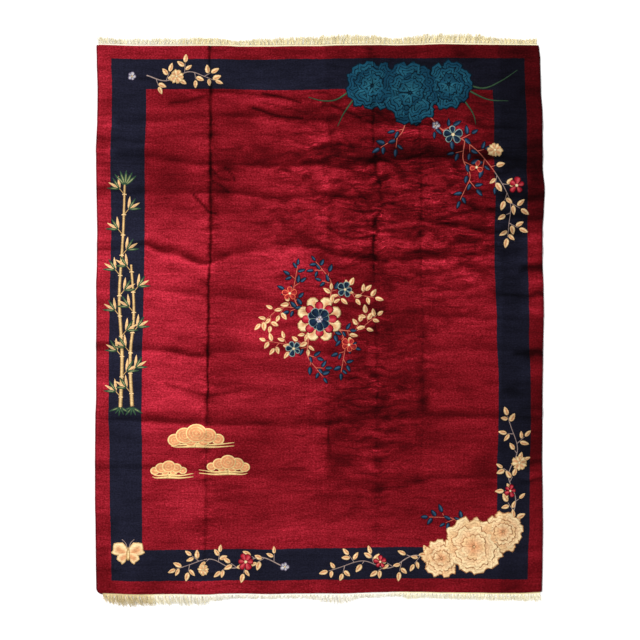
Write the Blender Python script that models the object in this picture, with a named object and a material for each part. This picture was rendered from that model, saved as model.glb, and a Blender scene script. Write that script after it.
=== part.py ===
"""Hand-knotted wool rug with a cut pile, corded selvedges and cotton warp fringes, lying on a floor.

Blender 4.5, run with: blender --background --python part.py

Lengths are in metres. +X runs across the rug, +Y from its foot to its head, +Z up. The floor is z = 0
and the origin is the middle of the rug on the floor. The rug isn't quite straight: its edges wander, and
it was stored folded, so soft ridges cross it and pressed grooves run along it.
"""

import math
import random
from collections import namedtuple

import bmesh
import bpy

# The pile cloth
PILE_WIDTH = 2.450
PILE_LENGTH = 3.010
THICKNESS = 0.011  # knotted foundation and cut pile together
RIM_WIDTH = 0.010  # the tufts along the rim lean over, so the pile is lower there
RIM_DROP = 0.003
WORN_CORNER = 0.027  # radius of the worn corner, at the foot on the left
CORNER = 0.010  # radius of the other three
END_FADE = 0.090  # ridges die away this far from the fringed ends
LINE_SPACING = 0.115  # the most between two lines of the cloth's grid

# The selvedges, each a cord of warps wrapped in wool
GAP = 0.0003  # between neighbouring pieces
CORD_RADIUS = 0.0038
CORD_BEVEL_STEPS = 1  # gives six sides

# The fringes, each a flat-woven web with the knotted warp ends standing out of it
WEB_WIDTH = 0.010
WEB_THICKNESS = 0.003
LOCK_PITCH = 0.0205
LOCK_SHARE = 0.58  # a lock's width at its root, as a share of the pitch
LOCK_TIP_SHARE = 0.45  # a lock's width at its tip, as a share of its root
LOCK_TIP_THICKNESS = 0.0018
LOCK_BEND = 0.35  # how much of its lean a lock has half-way out
LEAN_SPREAD = 0.0035  # how far one lock's tip strays from its neighbours' lean
REACH_SPREAD = 0.10
SEED = 7

MM = 0.001

# How far the two long edges lie to +X of straight, at places along the rug
SideDrift = namedtuple("SideDrift", "y left_mm right_mm")
SIDE_DRIFT = [
    SideDrift(-1.505, 4, -7),
    SideDrift(-1.35, 2, -4),
    SideDrift(-1.16, 0, -2),
    SideDrift(-1.00, -3, -3),
    SideDrift(-0.78, -3, -6),
    SideDrift(-0.60, -2, -5),
    SideDrift(-0.42, 3, -4),
    SideDrift(-0.20, 3, -1),
    SideDrift(0.05, 4, 3),
    SideDrift(0.18, 3, 1),
    SideDrift(0.30, 7, -4),
    SideDrift(0.48, 9, -4),
    SideDrift(0.60, 7, 3),
    SideDrift(0.70, 5, 8),
    SideDrift(0.84, 3, -3),
    SideDrift(0.94, 3, -3),
    SideDrift(1.12, 10, -4),
    SideDrift(1.26, 11, -13),
    SideDrift(1.42, 7, -17),
    SideDrift(1.505, 5, -24),
]

# How far the two short edges lie to +Y of straight, at places across the rug
EndDrift = namedtuple("EndDrift", "x foot_mm head_mm")
END_DRIFT = [
    EndDrift(-1.225, -2, 4),
    EndDrift(-1.00, -9, -2),
    EndDrift(-0.80, -7, -2),
    EndDrift(-0.63, -10, -1),
    EndDrift(-0.52, -5, -2),
    EndDrift(-0.42, -4, -6),
    EndDrift(-0.28, -7, -6),
    EndDrift(-0.12, -4, -3),
    EndDrift(0.00, -3, -3),
    EndDrift(0.12, -4, 1),
    EndDrift(0.34, 3, 3),
    EndDrift(0.44, 6, 1),
    EndDrift(0.54, 5, 3),
    EndDrift(0.70, 2, 8),
    EndDrift(0.88, 1, 5),
    EndDrift(0.97, -1, 4),
    EndDrift(1.10, -1, 3),
    EndDrift(1.225, 4, 2),
]

# How far each fringe reaches beyond the pile, and how far its tips lean to +X
Fringe = namedtuple("Fringe", "x foot_mm head_mm foot_lean_mm head_lean_mm")
FRINGE = [
    Fringe(-1.225, 44, 44, 16, -6),
    Fringe(-1.10, 64, 39, 22, -3),
    Fringe(-0.88, 60, 41, 20, 4),
    Fringe(-0.66, 58, 46, 16, 5),
    Fringe(-0.57, 38, 42, 6, -4),
    Fringe(-0.43, 30, 35, 0, -7),
    Fringe(-0.33, 29, 44, -5, -8),
    Fringe(-0.10, 31, 51, 4, 3),
    Fringe(0.10, 56, 60, 9, 8),
    Fringe(0.24, 33, 57, 3, 5),
    Fringe(0.43, 28, 40, -7, -5),
    Fringe(0.51, 42, 50, 0, 2),
    Fringe(0.62, 37, 58, 5, 7),
    Fringe(0.85, 42, 58, 8, 9),
    Fringe(0.99, 43, 39, 3, -3),
    Fringe(1.10, 44, 33, -3, -6),
    Fringe(1.225, 54, 40, 7, 2),
]

# Ridges that cross the rug, from the foot up: half of each one's width, and its crest from left to right
CrestPoint = namedtuple("CrestPoint", "x y height_mm")
Ridge = namedtuple("Ridge", "name half_width crest")
RIDGES = [
    Ridge("shin", 0.038, [
        CrestPoint(-1.22, -0.79, 4), CrestPoint(-0.97, -0.79, 5), CrestPoint(-0.60, -0.80, 2),
        CrestPoint(0.00, -0.87, 1), CrestPoint(0.37, -0.91, 6), CrestPoint(0.70, -0.85, 7),
        CrestPoint(0.95, -0.84, 2), CrestPoint(1.22, -0.84, 1),
    ]),
    Ridge("knee", 0.045, [
        CrestPoint(-1.22, -0.52, 6), CrestPoint(-0.97, -0.52, 8), CrestPoint(-0.62, -0.545, 7),
        CrestPoint(0.02, -0.545, 6), CrestPoint(0.30, -0.53, 3), CrestPoint(0.54, -0.51, 7),
        CrestPoint(0.98, -0.515, 8), CrestPoint(1.22, -0.52, 4),
    ]),
    Ridge("thigh", 0.045, [
        CrestPoint(-1.22, -0.14, 5), CrestPoint(-0.96, -0.13, 8), CrestPoint(-0.64, -0.17, 9),
        CrestPoint(-0.56, -0.145, 6), CrestPoint(-0.40, -0.135, 5), CrestPoint(-0.10, -0.14, 4),
        CrestPoint(0.30, -0.15, 2), CrestPoint(0.94, -0.14, 4), CrestPoint(1.22, -0.14, 2),
    ]),
    Ridge("waist", 0.035, [
        CrestPoint(-1.22, 0.19, 3), CrestPoint(-0.96, 0.19, 4), CrestPoint(-0.62, 0.16, 4),
        CrestPoint(0.00, 0.09, 1), CrestPoint(0.54, 0.04, 5), CrestPoint(0.94, 0.02, 5),
        CrestPoint(1.22, 0.02, 2),
    ]),
    Ridge("middle", 0.045, [
        CrestPoint(-1.22, 0.41, 6), CrestPoint(-0.96, 0.435, 9), CrestPoint(-0.84, 0.405, 9),
        CrestPoint(-0.63, 0.335, 10), CrestPoint(-0.55, 0.365, 6), CrestPoint(-0.47, 0.40, 5),
        CrestPoint(-0.33, 0.425, 5), CrestPoint(-0.20, 0.445, 5), CrestPoint(0.00, 0.42, 6),
        CrestPoint(0.13, 0.375, 8), CrestPoint(0.32, 0.345, 9), CrestPoint(0.59, 0.36, 9),
        CrestPoint(0.92, 0.38, 8), CrestPoint(1.22, 0.38, 4),
    ]),
    Ridge("slant", 0.035, [
        CrestPoint(-1.22, 0.57, 0), CrestPoint(-0.20, 0.59, 0), CrestPoint(0.35, 0.60, 4),
        CrestPoint(0.48, 0.575, 7), CrestPoint(0.70, 0.54, 7), CrestPoint(0.94, 0.49, 7),
        CrestPoint(1.22, 0.47, 3),
    ]),
    Ridge("chest", 0.035, [
        CrestPoint(-1.22, 0.73, 3), CrestPoint(-0.90, 0.72, 3), CrestPoint(-0.55, 0.72, 7),
        CrestPoint(-0.20, 0.69, 7), CrestPoint(0.02, 0.705, 7), CrestPoint(0.18, 0.68, 7),
        CrestPoint(0.30, 0.70, 6), CrestPoint(0.50, 0.72, 2), CrestPoint(1.22, 0.73, 1),
    ]),
    Ridge("shoulder", 0.055, [
        CrestPoint(-1.22, 0.93, 6), CrestPoint(-0.95, 0.925, 7), CrestPoint(-0.56, 0.89, 8),
        CrestPoint(-0.20, 0.885, 10), CrestPoint(0.02, 0.885, 12), CrestPoint(0.12, 0.875, 12),
        CrestPoint(0.25, 0.885, 12), CrestPoint(0.37, 0.91, 13), CrestPoint(0.60, 0.925, 13),
        CrestPoint(0.90, 0.91, 12), CrestPoint(1.00, 0.91, 8), CrestPoint(1.22, 0.905, 5),
    ]),
    Ridge("neck", 0.045, [
        CrestPoint(-1.22, 1.11, 5), CrestPoint(-0.90, 1.12, 4), CrestPoint(-0.60, 1.145, 5),
        CrestPoint(-0.34, 1.155, 7), CrestPoint(-0.09, 1.125, 8), CrestPoint(0.13, 1.11, 9),
        CrestPoint(0.30, 1.11, 9), CrestPoint(0.42, 1.115, 9), CrestPoint(0.52, 1.095, 9),
        CrestPoint(0.80, 1.095, 8), CrestPoint(0.94, 1.075, 8), CrestPoint(1.22, 1.07, 4),
    ]),
    Ridge("brow", 0.032, [
        CrestPoint(-1.22, 1.39, 3), CrestPoint(-0.90, 1.33, 3), CrestPoint(-0.59, 1.27, 6),
        CrestPoint(-0.31, 1.25, 7), CrestPoint(-0.09, 1.225, 4), CrestPoint(0.10, 1.22, 1),
        CrestPoint(1.22, 1.25, 0),
    ]),
]
WIDE_RIDGE = 0.040  # a ridge of at least this half-width gets two more lines of the grid
FLANK = 0.45  # where those lie, as a share of the half-width

# Grooves pressed into the pile along the rug, from left to right: half of each one's width, and its bottom
BottomPoint = namedtuple("BottomPoint", "y x depth_mm")
Groove = namedtuple("Groove", "name half_width bottom")
GROOVES = [
    Groove("left_press", 0.014, [
        BottomPoint(-1.505, -0.632, 1.5), BottomPoint(-1.27, -0.626, 3.5), BottomPoint(-0.95, -0.619, 3.5),
        BottomPoint(-0.10, -0.616, 4.0), BottomPoint(0.17, -0.612, 4.0), BottomPoint(0.40, -0.602, 4.0),
        BottomPoint(1.505, -0.603, 3.5),
    ]),
    Groove("middle_press", 0.017, [
        BottomPoint(-1.505, 0.319, 0.0), BottomPoint(-1.07, 0.319, 2.5), BottomPoint(-0.44, 0.321, 3.0),
        BottomPoint(0.05, 0.308, 3.5), BottomPoint(0.40, 0.300, 4.0), BottomPoint(0.52, 0.303, 4.0),
        BottomPoint(0.62, 0.340, 4.0), BottomPoint(0.70, 0.338, 4.0), BottomPoint(0.81, 0.307, 4.0),
        BottomPoint(1.05, 0.294, 4.0), BottomPoint(1.20, 0.303, 4.0), BottomPoint(1.505, 0.292, 1.0),
    ]),
    Groove("right_press", 0.011, [
        BottomPoint(-1.505, 0.575, 0.0), BottomPoint(-0.60, 0.571, 1.5), BottomPoint(1.19, 0.553, 2.5),
        BottomPoint(1.505, 0.550, 0.0),
    ]),
]


def smooth(share):
    """Eases a share from 0 to 1."""
    share = min(max(share, 0.0), 1.0)
    return share * share * (3.0 - 2.0 * share)


def read_table(table, at, column):
    """A table's column, eased between its rows. Column 0 says where along the table a row is."""
    if at <= table[0][0]:
        return table[0][column]
    for low, high in zip(table, table[1:]):
        if at <= high[0]:
            share = smooth((at - low[0]) / (high[0] - low[0]))
            return low[column] + (high[column] - low[column]) * share
    return table[-1][column]


def bump(distance, half_width):
    """A soft hill or trough across a fold: 1 along its middle, 0 from its half-width on."""
    if abs(distance) >= half_width:
        return 0.0
    return 0.5 + 0.5 * math.cos(math.pi * distance / half_width)


def lift_at(s, t):
    """How far the ridges raise the whole cloth off the floor."""
    lift = 0.0
    for ridge in RIDGES:
        shape = bump(t - read_table(ridge.crest, s, 1), ridge.half_width)
        lift += shape * read_table(ridge.crest, s, 2) * MM
    from_end = PILE_LENGTH / 2 - abs(t)
    return lift * smooth(from_end / END_FADE)


def pressed_at(s, t):
    """How far the grooves press the pile down."""
    return sum(
        bump(s - read_table(groove.bottom, t, 1), groove.half_width) * read_table(groove.bottom, t, 2) * MM
        for groove in GROOVES
    )


def rim_drop_at(s, t):
    """How far the pile leans down at the rim."""
    inside = min(PILE_WIDTH / 2 - abs(s), PILE_LENGTH / 2 - abs(t))
    return RIM_DROP * (1.0 - smooth(inside / RIM_WIDTH))


def round_corner(s, t):
    """Moves a place near a corner of the rectangle onto the corner's rounded form."""
    radius = WORN_CORNER if s < 0 and t < 0 else CORNER
    across = (radius - (PILE_WIDTH / 2 - abs(s))) / radius
    along = (radius - (PILE_LENGTH / 2 - abs(t))) / radius
    if across <= 0 or along <= 0:
        return s, t
    s_inset = across * (1.0 - math.sqrt(1.0 - along * along / 2))
    t_inset = along * (1.0 - math.sqrt(1.0 - across * across / 2))
    return s - math.copysign(radius * s_inset, s), t - math.copysign(radius * t_inset, t)


def plan_at(s, t):
    """Where a place of the straight cloth lies on the floor, once its edges wander."""
    s, t = round_corner(s, t)
    across = s / PILE_WIDTH + 0.5
    along = t / PILE_LENGTH + 0.5
    left = read_table(SIDE_DRIFT, t, 1)
    right = read_table(SIDE_DRIFT, t, 2)
    foot = read_table(END_DRIFT, s, 1)
    head = read_table(END_DRIFT, s, 2)
    return s + (left + (right - left) * across) * MM, t + (foot + (head - foot) * along) * MM


def filled_out(lines, ends):
    """Adds evenly spaced lines wherever two neighbouring lines are far apart at either of their ends."""
    filled = [lines[0]]
    for low, high in zip(lines, lines[1:]):
        widest = max(high(end) - low(end) for end in ends)
        count = max(1, math.ceil(widest / LINE_SPACING))
        for step in range(1, count):
            filled.append(lambda at, a=low, b=high, w=step / count: a(at) * (1 - w) + b(at) * w)
        filled.append(high)
    return filled


def straight(value):
    return lambda at: value


def cross_lines():
    """The grid's lines across the rug, from foot to head. Each gives t for a place s."""
    half = PILE_LENGTH / 2
    lines = [straight(-half), straight(-half + RIM_WIDTH), straight(-half + WORN_CORNER)]
    for ridge in RIDGES:
        shares = (-1, -FLANK, 0, FLANK, 1) if ridge.half_width >= WIDE_RIDGE else (-1, 0, 1)
        for share in shares:
            offset = share * ridge.half_width
            lines.append(lambda s, r=ridge, o=offset: read_table(r.crest, s, 1) + o)
    lines += [straight(half - RIM_WIDTH), straight(half)]
    return filled_out(lines, (-PILE_WIDTH / 2, 0.0, PILE_WIDTH / 2))


def length_lines():
    """The grid's lines along the rug, from left to right. Each gives s for a place t."""
    half = PILE_WIDTH / 2
    lines = [straight(-half), straight(-half + RIM_WIDTH), straight(-half + WORN_CORNER)]
    for groove in GROOVES:
        for share in (-1, 0, 1):
            offset = share * groove.half_width
            lines.append(lambda t, g=groove, o=offset: read_table(g.bottom, t, 1) + o)
    lines += [straight(half - RIM_WIDTH), straight(half)]
    return filled_out(lines, (-PILE_LENGTH / 2, 0.0, PILE_LENGTH / 2))


def crossing(s_line, t_line):
    """Where a lengthwise and a cross line of the grid meet."""
    s, t = s_line(0.0), 0.0
    for _ in range(3):
        t = t_line(s)
        s = s_line(t)
    return s, t


def cloth_grid():
    """Every crossing of the grid, as rows from foot to head of places from left to right."""
    columns = length_lines()
    return [[crossing(column, row) for column in columns] for row in cross_lines()]


def wool(name, colour, roughness):
    """A plain dull fibre material."""
    material = bpy.data.materials.new(name)
    material.use_nodes = True
    shader = material.node_tree.nodes["Principled BSDF"]
    shader.inputs["Base Color"].default_value = (*colour, 1.0)
    shader.inputs["Roughness"].default_value = roughness
    shader.inputs["Metallic"].default_value = 0.0
    material.diffuse_color = (*colour, 1.0)
    return material


def add_object(name, data, material):
    data.materials.append(material)
    part = bpy.data.objects.new(name, data)
    bpy.context.scene.collection.objects.link(part)
    return part


def add_mesh(name, shape, material):
    """Turns a finished bmesh into a named object with its faces pointing out."""
    bmesh.ops.recalc_face_normals(shape, faces=shape.faces)
    mesh = bpy.data.meshes.new(name)
    shape.to_mesh(mesh)
    shape.free()
    return add_object(name, mesh, material)


def outline_of(rows):
    """The grid's rim, one round of row and column numbers."""
    last_row, last_column = len(rows) - 1, len(rows[0]) - 1
    foot = [(0, column) for column in range(last_column)]
    right = [(row, last_column) for row in range(last_row)]
    head = [(last_row, column) for column in range(last_column, 0, -1)]
    left = [(row, 0) for row in range(last_row, 0, -1)]
    return foot + right + head + left


def add_pile(grid, material):
    """The knotted cloth: one thick sheet, top and underside raised together by the ridges."""
    shape = bmesh.new()
    top, under = [], []
    for row in grid:
        top.append([])
        under.append([])
        for s, t in row:
            x, y = plan_at(s, t)
            lift = lift_at(s, t)
            height = THICKNESS - pressed_at(s, t) - rim_drop_at(s, t)
            top[-1].append(shape.verts.new((x, y, lift + height)))
            under[-1].append(shape.verts.new((x, y, lift)))
    for low, high in zip(range(len(grid)), range(1, len(grid))):
        for a, b in zip(range(len(grid[0])), range(1, len(grid[0]))):
            shape.faces.new((top[low][a], top[low][b], top[high][b], top[high][a]))
            shape.faces.new((under[low][a], under[high][a], under[high][b], under[low][b]))
    rim = outline_of(grid)
    for (row, column), (next_row, next_column) in zip(rim, rim[1:] + rim[:1]):
        shape.faces.new((
            under[row][column], under[next_row][next_column],
            top[next_row][next_column], top[row][column],
        ))
    return add_mesh("rug_pile", shape, material)


def outward_of(path, at):
    """The direction that points to the right of a path, halving the turn at its point."""
    before = path[max(at - 1, 0)]
    after = path[min(at + 1, len(path) - 1)]
    run_x, run_y = after[0] - before[0], after[1] - before[1]
    length = math.hypot(run_x, run_y)
    return run_y / length, -run_x / length


def add_selvedge(name, rim_places, material):
    """A wrapped cord along one long edge, from its places on the rim with the cloth on their left."""
    path = [plan_at(s, t) for s, t in rim_places]
    curve = bpy.data.curves.new(name, "CURVE")
    curve.dimensions = "3D"
    curve.bevel_depth = CORD_RADIUS
    curve.bevel_resolution = CORD_BEVEL_STEPS
    curve.use_fill_caps = True
    spline = curve.splines.new("POLY")
    spline.points.add(len(path) - 1)
    for at, ((x, y), (s, t)) in enumerate(zip(path, rim_places)):
        out_x, out_y = outward_of(path, at)
        out = CORD_RADIUS + GAP
        spline.points[at].co = (x + out_x * out, y + out_y * out, lift_at(s, t) + CORD_RADIUS, 1.0)
    return add_object(name, curve, material)


def add_fringe(name, rim_places, reach_column, lean_column, chance, material):
    """A web along one short edge with its locks, from places on the rim with the cloth on their left."""
    path = [plan_at(s, t) for s, t in rim_places]
    shape = bmesh.new()
    outs = [outward_of(path, at) for at in range(len(path))]
    floor_in, floor_out, top_in, top_out = [], [], [], []
    for (x, y), (out_x, out_y) in zip(path, outs):
        for ring, out, z in (
            (floor_in, GAP, 0.0), (floor_out, GAP + WEB_WIDTH, 0.0),
            (top_in, GAP, WEB_THICKNESS), (top_out, GAP + WEB_WIDTH, WEB_THICKNESS),
        ):
            ring.append(shape.verts.new((x + out_x * out, y + out_y * out, z)))
    shape.faces.new((floor_in[0], floor_out[0], top_out[0], top_in[0]))
    shape.faces.new((floor_out[-1], floor_in[-1], top_in[-1], top_out[-1]))
    stray = 0.0
    for at in range(len(path) - 1):
        start, end = floor_out[at].co, floor_out[at + 1].co
        run = end - start
        count = round(run.length / LOCK_PITCH)
        outer_floor, outer_top = [floor_out[at]], [top_out[at]]
        for lock in range(count):
            edges = []
            for side in (-0.5, 0.5):
                share = (lock + 0.5 + side * LOCK_SHARE) / count
                low = shape.verts.new(start + run * share)
                high = shape.verts.new((*(start + run * share).xy, WEB_THICKNESS))
                outer_floor.append(low)
                outer_top.append(high)
                edges += [low, high]
            middle = start + run * ((lock + 0.5) / count)
            reach = read_table(FRINGE, middle.x, reach_column) * MM
            reach *= 1.0 + chance.uniform(-REACH_SPREAD, REACH_SPREAD)
            stray = (stray + chance.uniform(-LEAN_SPREAD, LEAN_SPREAD)) / 2
            lean = read_table(FRINGE, middle.x, lean_column) * MM + stray
            add_lock(shape, edges, outs[at], reach - WEB_WIDTH, lean)
        outer_floor.append(floor_out[at + 1])
        outer_top.append(top_out[at + 1])
        shape.faces.new([floor_in[at + 1], floor_in[at]] + outer_floor)
        shape.faces.new([top_in[at], top_in[at + 1]] + outer_top[::-1])
        shape.faces.new((floor_in[at], floor_in[at + 1], top_in[at + 1], top_in[at]))
        for gap in range(0, len(outer_floor), 2):
            shape.faces.new((
                outer_floor[gap + 1], outer_floor[gap], outer_top[gap], outer_top[gap + 1],
            ))
    return add_mesh(name, shape, material)


def add_lock(shape, root, out, reach, lean):
    """A lock of warp ends: tapers out from the four points of its root, level on the floor."""
    low_a, high_a, low_b, high_b = root
    ring = [low_a, low_b, high_b, high_a]
    middle = (low_a.co + low_b.co) / 2
    half = (low_b.co - low_a.co) / 2
    for share, drift in ((0.5, LOCK_BEND), (1.0, 1.0)):
        taper = 1.0 + (LOCK_TIP_SHARE - 1.0) * share
        thickness = WEB_THICKNESS + (LOCK_TIP_THICKNESS - WEB_THICKNESS) * share
        x = middle.x + out[0] * reach * share + lean * drift
        y = middle.y + out[1] * reach * share
        tip = [
            shape.verts.new((x + half.x * side * taper, y + half.y * side * taper, z))
            for side, z in ((-1, 0.0), (1, 0.0), (1, thickness), (-1, thickness))
        ]
        for a, b in zip(range(4), (1, 2, 3, 0)):
            shape.faces.new((ring[a], ring[b], tip[b], tip[a]))
        ring = tip
    shape.faces.new(ring)


def main():
    for old in list(bpy.data.objects):
        bpy.data.objects.remove(old, do_unlink=True)

    pile_wool = wool("pile_wool", (0.235, 0.010, 0.022), 0.85)
    binding_wool = wool("binding_wool", (0.150, 0.009, 0.014), 0.80)
    warp_cotton = wool("warp_cotton", (0.780, 0.700, 0.520), 0.90)

    grid = cloth_grid()
    add_pile(grid, pile_wool)

    right = [row[-1] for row in grid]
    left = [row[0] for row in reversed(grid)]
    worn_corner = [place for place in grid[0] if 0 < place[0] + PILE_WIDTH / 2 < WORN_CORNER + RIM_WIDTH / 2]
    add_selvedge("selvedge_right", right, binding_wool)
    add_selvedge("selvedge_left", left + worn_corner, binding_wool)

    chance = random.Random(SEED)
    foot = [place for place in grid[0] if place not in worn_corner[:-1] and place != grid[0][0]]
    head = list(reversed(grid[-1]))
    add_fringe("fringe_foot", foot, 1, 3, chance, warp_cotton)
    add_fringe("fringe_head", head, 2, 4, chance, warp_cotton)


main()
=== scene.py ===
"""The looks of a hand-knotted wool rug with a cut pile, corded selvedges and cotton warp fringes.

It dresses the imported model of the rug, in metres: +X runs across the rug, +Y from its foot to its head,
+Z up, and the floor is z = 0. The sections follow the rug as it is made and finished.
"""

import math
from collections import namedtuple

import bpy
import numpy as np
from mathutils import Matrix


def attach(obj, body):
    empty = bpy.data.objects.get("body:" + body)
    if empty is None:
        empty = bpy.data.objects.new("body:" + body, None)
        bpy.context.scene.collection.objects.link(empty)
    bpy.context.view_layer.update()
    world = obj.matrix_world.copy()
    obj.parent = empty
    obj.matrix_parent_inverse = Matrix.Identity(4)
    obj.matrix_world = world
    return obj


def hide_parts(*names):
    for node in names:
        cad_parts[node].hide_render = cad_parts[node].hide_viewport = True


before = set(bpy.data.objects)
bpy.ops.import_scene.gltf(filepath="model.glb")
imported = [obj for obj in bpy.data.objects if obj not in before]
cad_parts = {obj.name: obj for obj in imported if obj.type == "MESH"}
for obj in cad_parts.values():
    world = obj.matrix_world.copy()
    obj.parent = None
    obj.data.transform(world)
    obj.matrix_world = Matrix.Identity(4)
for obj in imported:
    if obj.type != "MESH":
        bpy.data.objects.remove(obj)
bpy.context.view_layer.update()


# ----------------------------------------
# The knotted cloth. Wool tufts are knotted row by row on cotton warps and cut level, in one piece of
# 2.45 by 3.01 m and 11 mm thick. It was stored folded, so soft ridges cross it, grooves are pressed
# along it, its edges wander, and the nap of each folded panel catches the light in its own way. That
# light and shade, and the shade of the folds, are painted into the pile's colour.
# ----------------------------------------

MM = 0.001
PILE_WIDTH = 2.450
PILE_LENGTH = 3.010
HALF_WIDTH = PILE_WIDTH / 2
HALF_LENGTH = PILE_LENGTH / 2
THICKNESS = 0.011
RIM_WIDTH = 0.010  # the tufts along the rim lean over, so the pile is lower there
RIM_DROP = 0.003
WORN_CORNER = 0.027  # radius of the worn corner, at the foot on the left
CORNER = 0.010  # radius of the other three
END_FADE = 0.090  # ridges die away this far from the fringed ends
GUARD_WIDTH = 0.074  # the crimson guard stripe round the rim
BORDER_REACH = 0.250  # from the rim to the inner side of the navy border


def rows(kind, *values):
    """A table whose rows are all of one kind."""
    return [kind(*row) for row in values]


# How far the two long edges lie to +X of straight, at places along the rug
SideDrift = namedtuple("SideDrift", "y left_mm right_mm")
SIDE_DRIFT = rows(
    SideDrift,
    (-1.505, 4, -7), (-1.35, 2, -4), (-1.16, 0, -2), (-1.0, -3, -3), (-0.78, -3, -6), (-0.6, -2, -5),
    (-0.42, 3, -4), (-0.2, 3, -1), (0.05, 4, 3), (0.18, 3, 1), (0.3, 7, -4), (0.48, 9, -4), (0.6, 7, 3),
    (0.7, 5, 8), (0.84, 3, -3), (0.94, 3, -3), (1.12, 10, -4), (1.26, 11, -13), (1.42, 7, -17),
    (1.505, 5, -24),
)

# How far the two short edges lie to +Y of straight, at places across the rug
EndDrift = namedtuple("EndDrift", "x foot_mm head_mm")
END_DRIFT = rows(
    EndDrift,
    (-1.225, -2, 4), (-1.0, -9, -2), (-0.8, -7, -2), (-0.63, -10, -1), (-0.52, -5, -2), (-0.42, -4, -6),
    (-0.28, -7, -6), (-0.12, -4, -3), (0.0, -3, -3), (0.12, -4, 1), (0.34, 3, 3), (0.44, 6, 1),
    (0.54, 5, 3), (0.7, 2, 8), (0.88, 1, 5), (0.97, -1, 4), (1.1, -1, 3), (1.225, 4, 2),
)

# Ridges that cross the rug, from the foot up: half of each one's width, and its crest from left to right
CrestPoint = namedtuple("CrestPoint", "x y height_mm")
Ridge = namedtuple("Ridge", "name half_width crest")
RIDGES = [
    Ridge("shin", 0.038, rows(
        CrestPoint,
        (-1.22, -0.79, 4), (-0.97, -0.79, 5), (-0.6, -0.8, 2), (0.0, -0.87, 1), (0.37, -0.91, 6),
        (0.7, -0.85, 7), (0.95, -0.84, 2), (1.22, -0.84, 1),
    )),
    Ridge("knee", 0.045, rows(
        CrestPoint,
        (-1.22, -0.52, 6), (-0.97, -0.52, 8), (-0.62, -0.545, 7), (0.02, -0.545, 6), (0.3, -0.53, 3),
        (0.54, -0.51, 7), (0.98, -0.515, 8), (1.22, -0.52, 4),
    )),
    Ridge("thigh", 0.045, rows(
        CrestPoint,
        (-1.22, -0.14, 5), (-0.96, -0.13, 8), (-0.64, -0.17, 9), (-0.56, -0.145, 6), (-0.4, -0.135, 5),
        (-0.1, -0.14, 4), (0.3, -0.15, 2), (0.94, -0.14, 4), (1.22, -0.14, 2),
    )),
    Ridge("waist", 0.035, rows(
        CrestPoint,
        (-1.22, 0.19, 3), (-0.96, 0.19, 4), (-0.62, 0.16, 4), (0.0, 0.09, 1), (0.54, 0.04, 5),
        (0.94, 0.02, 5), (1.22, 0.02, 2),
    )),
    Ridge("middle", 0.045, rows(
        CrestPoint,
        (-1.22, 0.41, 6), (-0.96, 0.435, 9), (-0.84, 0.405, 9), (-0.63, 0.335, 10), (-0.55, 0.365, 6),
        (-0.47, 0.4, 5), (-0.33, 0.425, 5), (-0.2, 0.445, 5), (0.0, 0.42, 6), (0.13, 0.375, 8),
        (0.32, 0.345, 9), (0.59, 0.36, 9), (0.92, 0.38, 8), (1.22, 0.38, 4),
    )),
    Ridge("slant", 0.035, rows(
        CrestPoint,
        (-1.22, 0.57, 0), (-0.2, 0.59, 0), (0.35, 0.6, 4), (0.48, 0.575, 7), (0.7, 0.54, 7),
        (0.94, 0.49, 7), (1.22, 0.47, 3),
    )),
    Ridge("chest", 0.035, rows(
        CrestPoint,
        (-1.22, 0.73, 3), (-0.9, 0.72, 3), (-0.55, 0.72, 7), (-0.2, 0.69, 7), (0.02, 0.705, 7),
        (0.18, 0.68, 7), (0.3, 0.7, 6), (0.5, 0.72, 2), (1.22, 0.73, 1),
    )),
    Ridge("shoulder", 0.055, rows(
        CrestPoint,
        (-1.22, 0.93, 6), (-0.95, 0.925, 7), (-0.56, 0.89, 8), (-0.2, 0.885, 10), (0.02, 0.885, 12),
        (0.12, 0.875, 12), (0.25, 0.885, 12), (0.37, 0.91, 13), (0.6, 0.925, 13), (0.9, 0.91, 12),
        (1.0, 0.91, 8), (1.22, 0.905, 5),
    )),
    Ridge("neck", 0.045, rows(
        CrestPoint,
        (-1.22, 1.11, 5), (-0.9, 1.12, 4), (-0.6, 1.145, 5), (-0.34, 1.155, 7), (-0.09, 1.125, 8),
        (0.13, 1.11, 9), (0.3, 1.11, 9), (0.42, 1.115, 9), (0.52, 1.095, 9), (0.8, 1.095, 8),
        (0.94, 1.075, 8), (1.22, 1.07, 4),
    )),
    Ridge("brow", 0.032, rows(
        CrestPoint,
        (-1.22, 1.39, 3), (-0.9, 1.33, 3), (-0.59, 1.27, 6), (-0.31, 1.25, 7), (-0.09, 1.225, 4),
        (0.1, 1.22, 1), (1.22, 1.25, 0),
    )),
]

# Grooves pressed into the pile along the rug, from left to right: half of each one's width, its bottom,
# and the narrow line of painted shade along it, how broken and how dark that is, and half its width
BottomPoint = namedtuple("BottomPoint", "y x depth_mm")
Groove = namedtuple("Groove", "name half_width broken shade line_reach bottom")
GROOVES = [
    Groove("left_press", 0.014, 0.15, 0.86, 0.015, rows(
        BottomPoint,
        (-1.505, -0.632, 1.5), (-1.27, -0.626, 3.5), (-0.95, -0.619, 3.5), (-0.1, -0.616, 4.0),
        (0.17, -0.612, 4.0), (0.4, -0.602, 4.0), (1.505, -0.603, 3.5),
    )),
    Groove("middle_press", 0.017, 0.75, 0.68, 0.0125, rows(
        BottomPoint,
        (-1.505, 0.319, 0.0), (-1.07, 0.319, 2.5), (-0.44, 0.321, 3.0), (0.05, 0.308, 3.5), (0.4, 0.3, 4.0),
        (0.52, 0.303, 4.0), (0.62, 0.34, 4.0), (0.7, 0.338, 4.0), (0.81, 0.307, 4.0), (1.05, 0.294, 4.0),
        (1.2, 0.303, 4.0), (1.505, 0.292, 1.0),
    )),
    Groove("right_press", 0.011, 0.55, 0.45, 0.0105, rows(
        BottomPoint,
        (-1.505, 0.575, 0.0), (-0.6, 0.571, 1.5), (1.19, 0.553, 2.5), (1.505, 0.55, 0.0),
    )),
]

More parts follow.
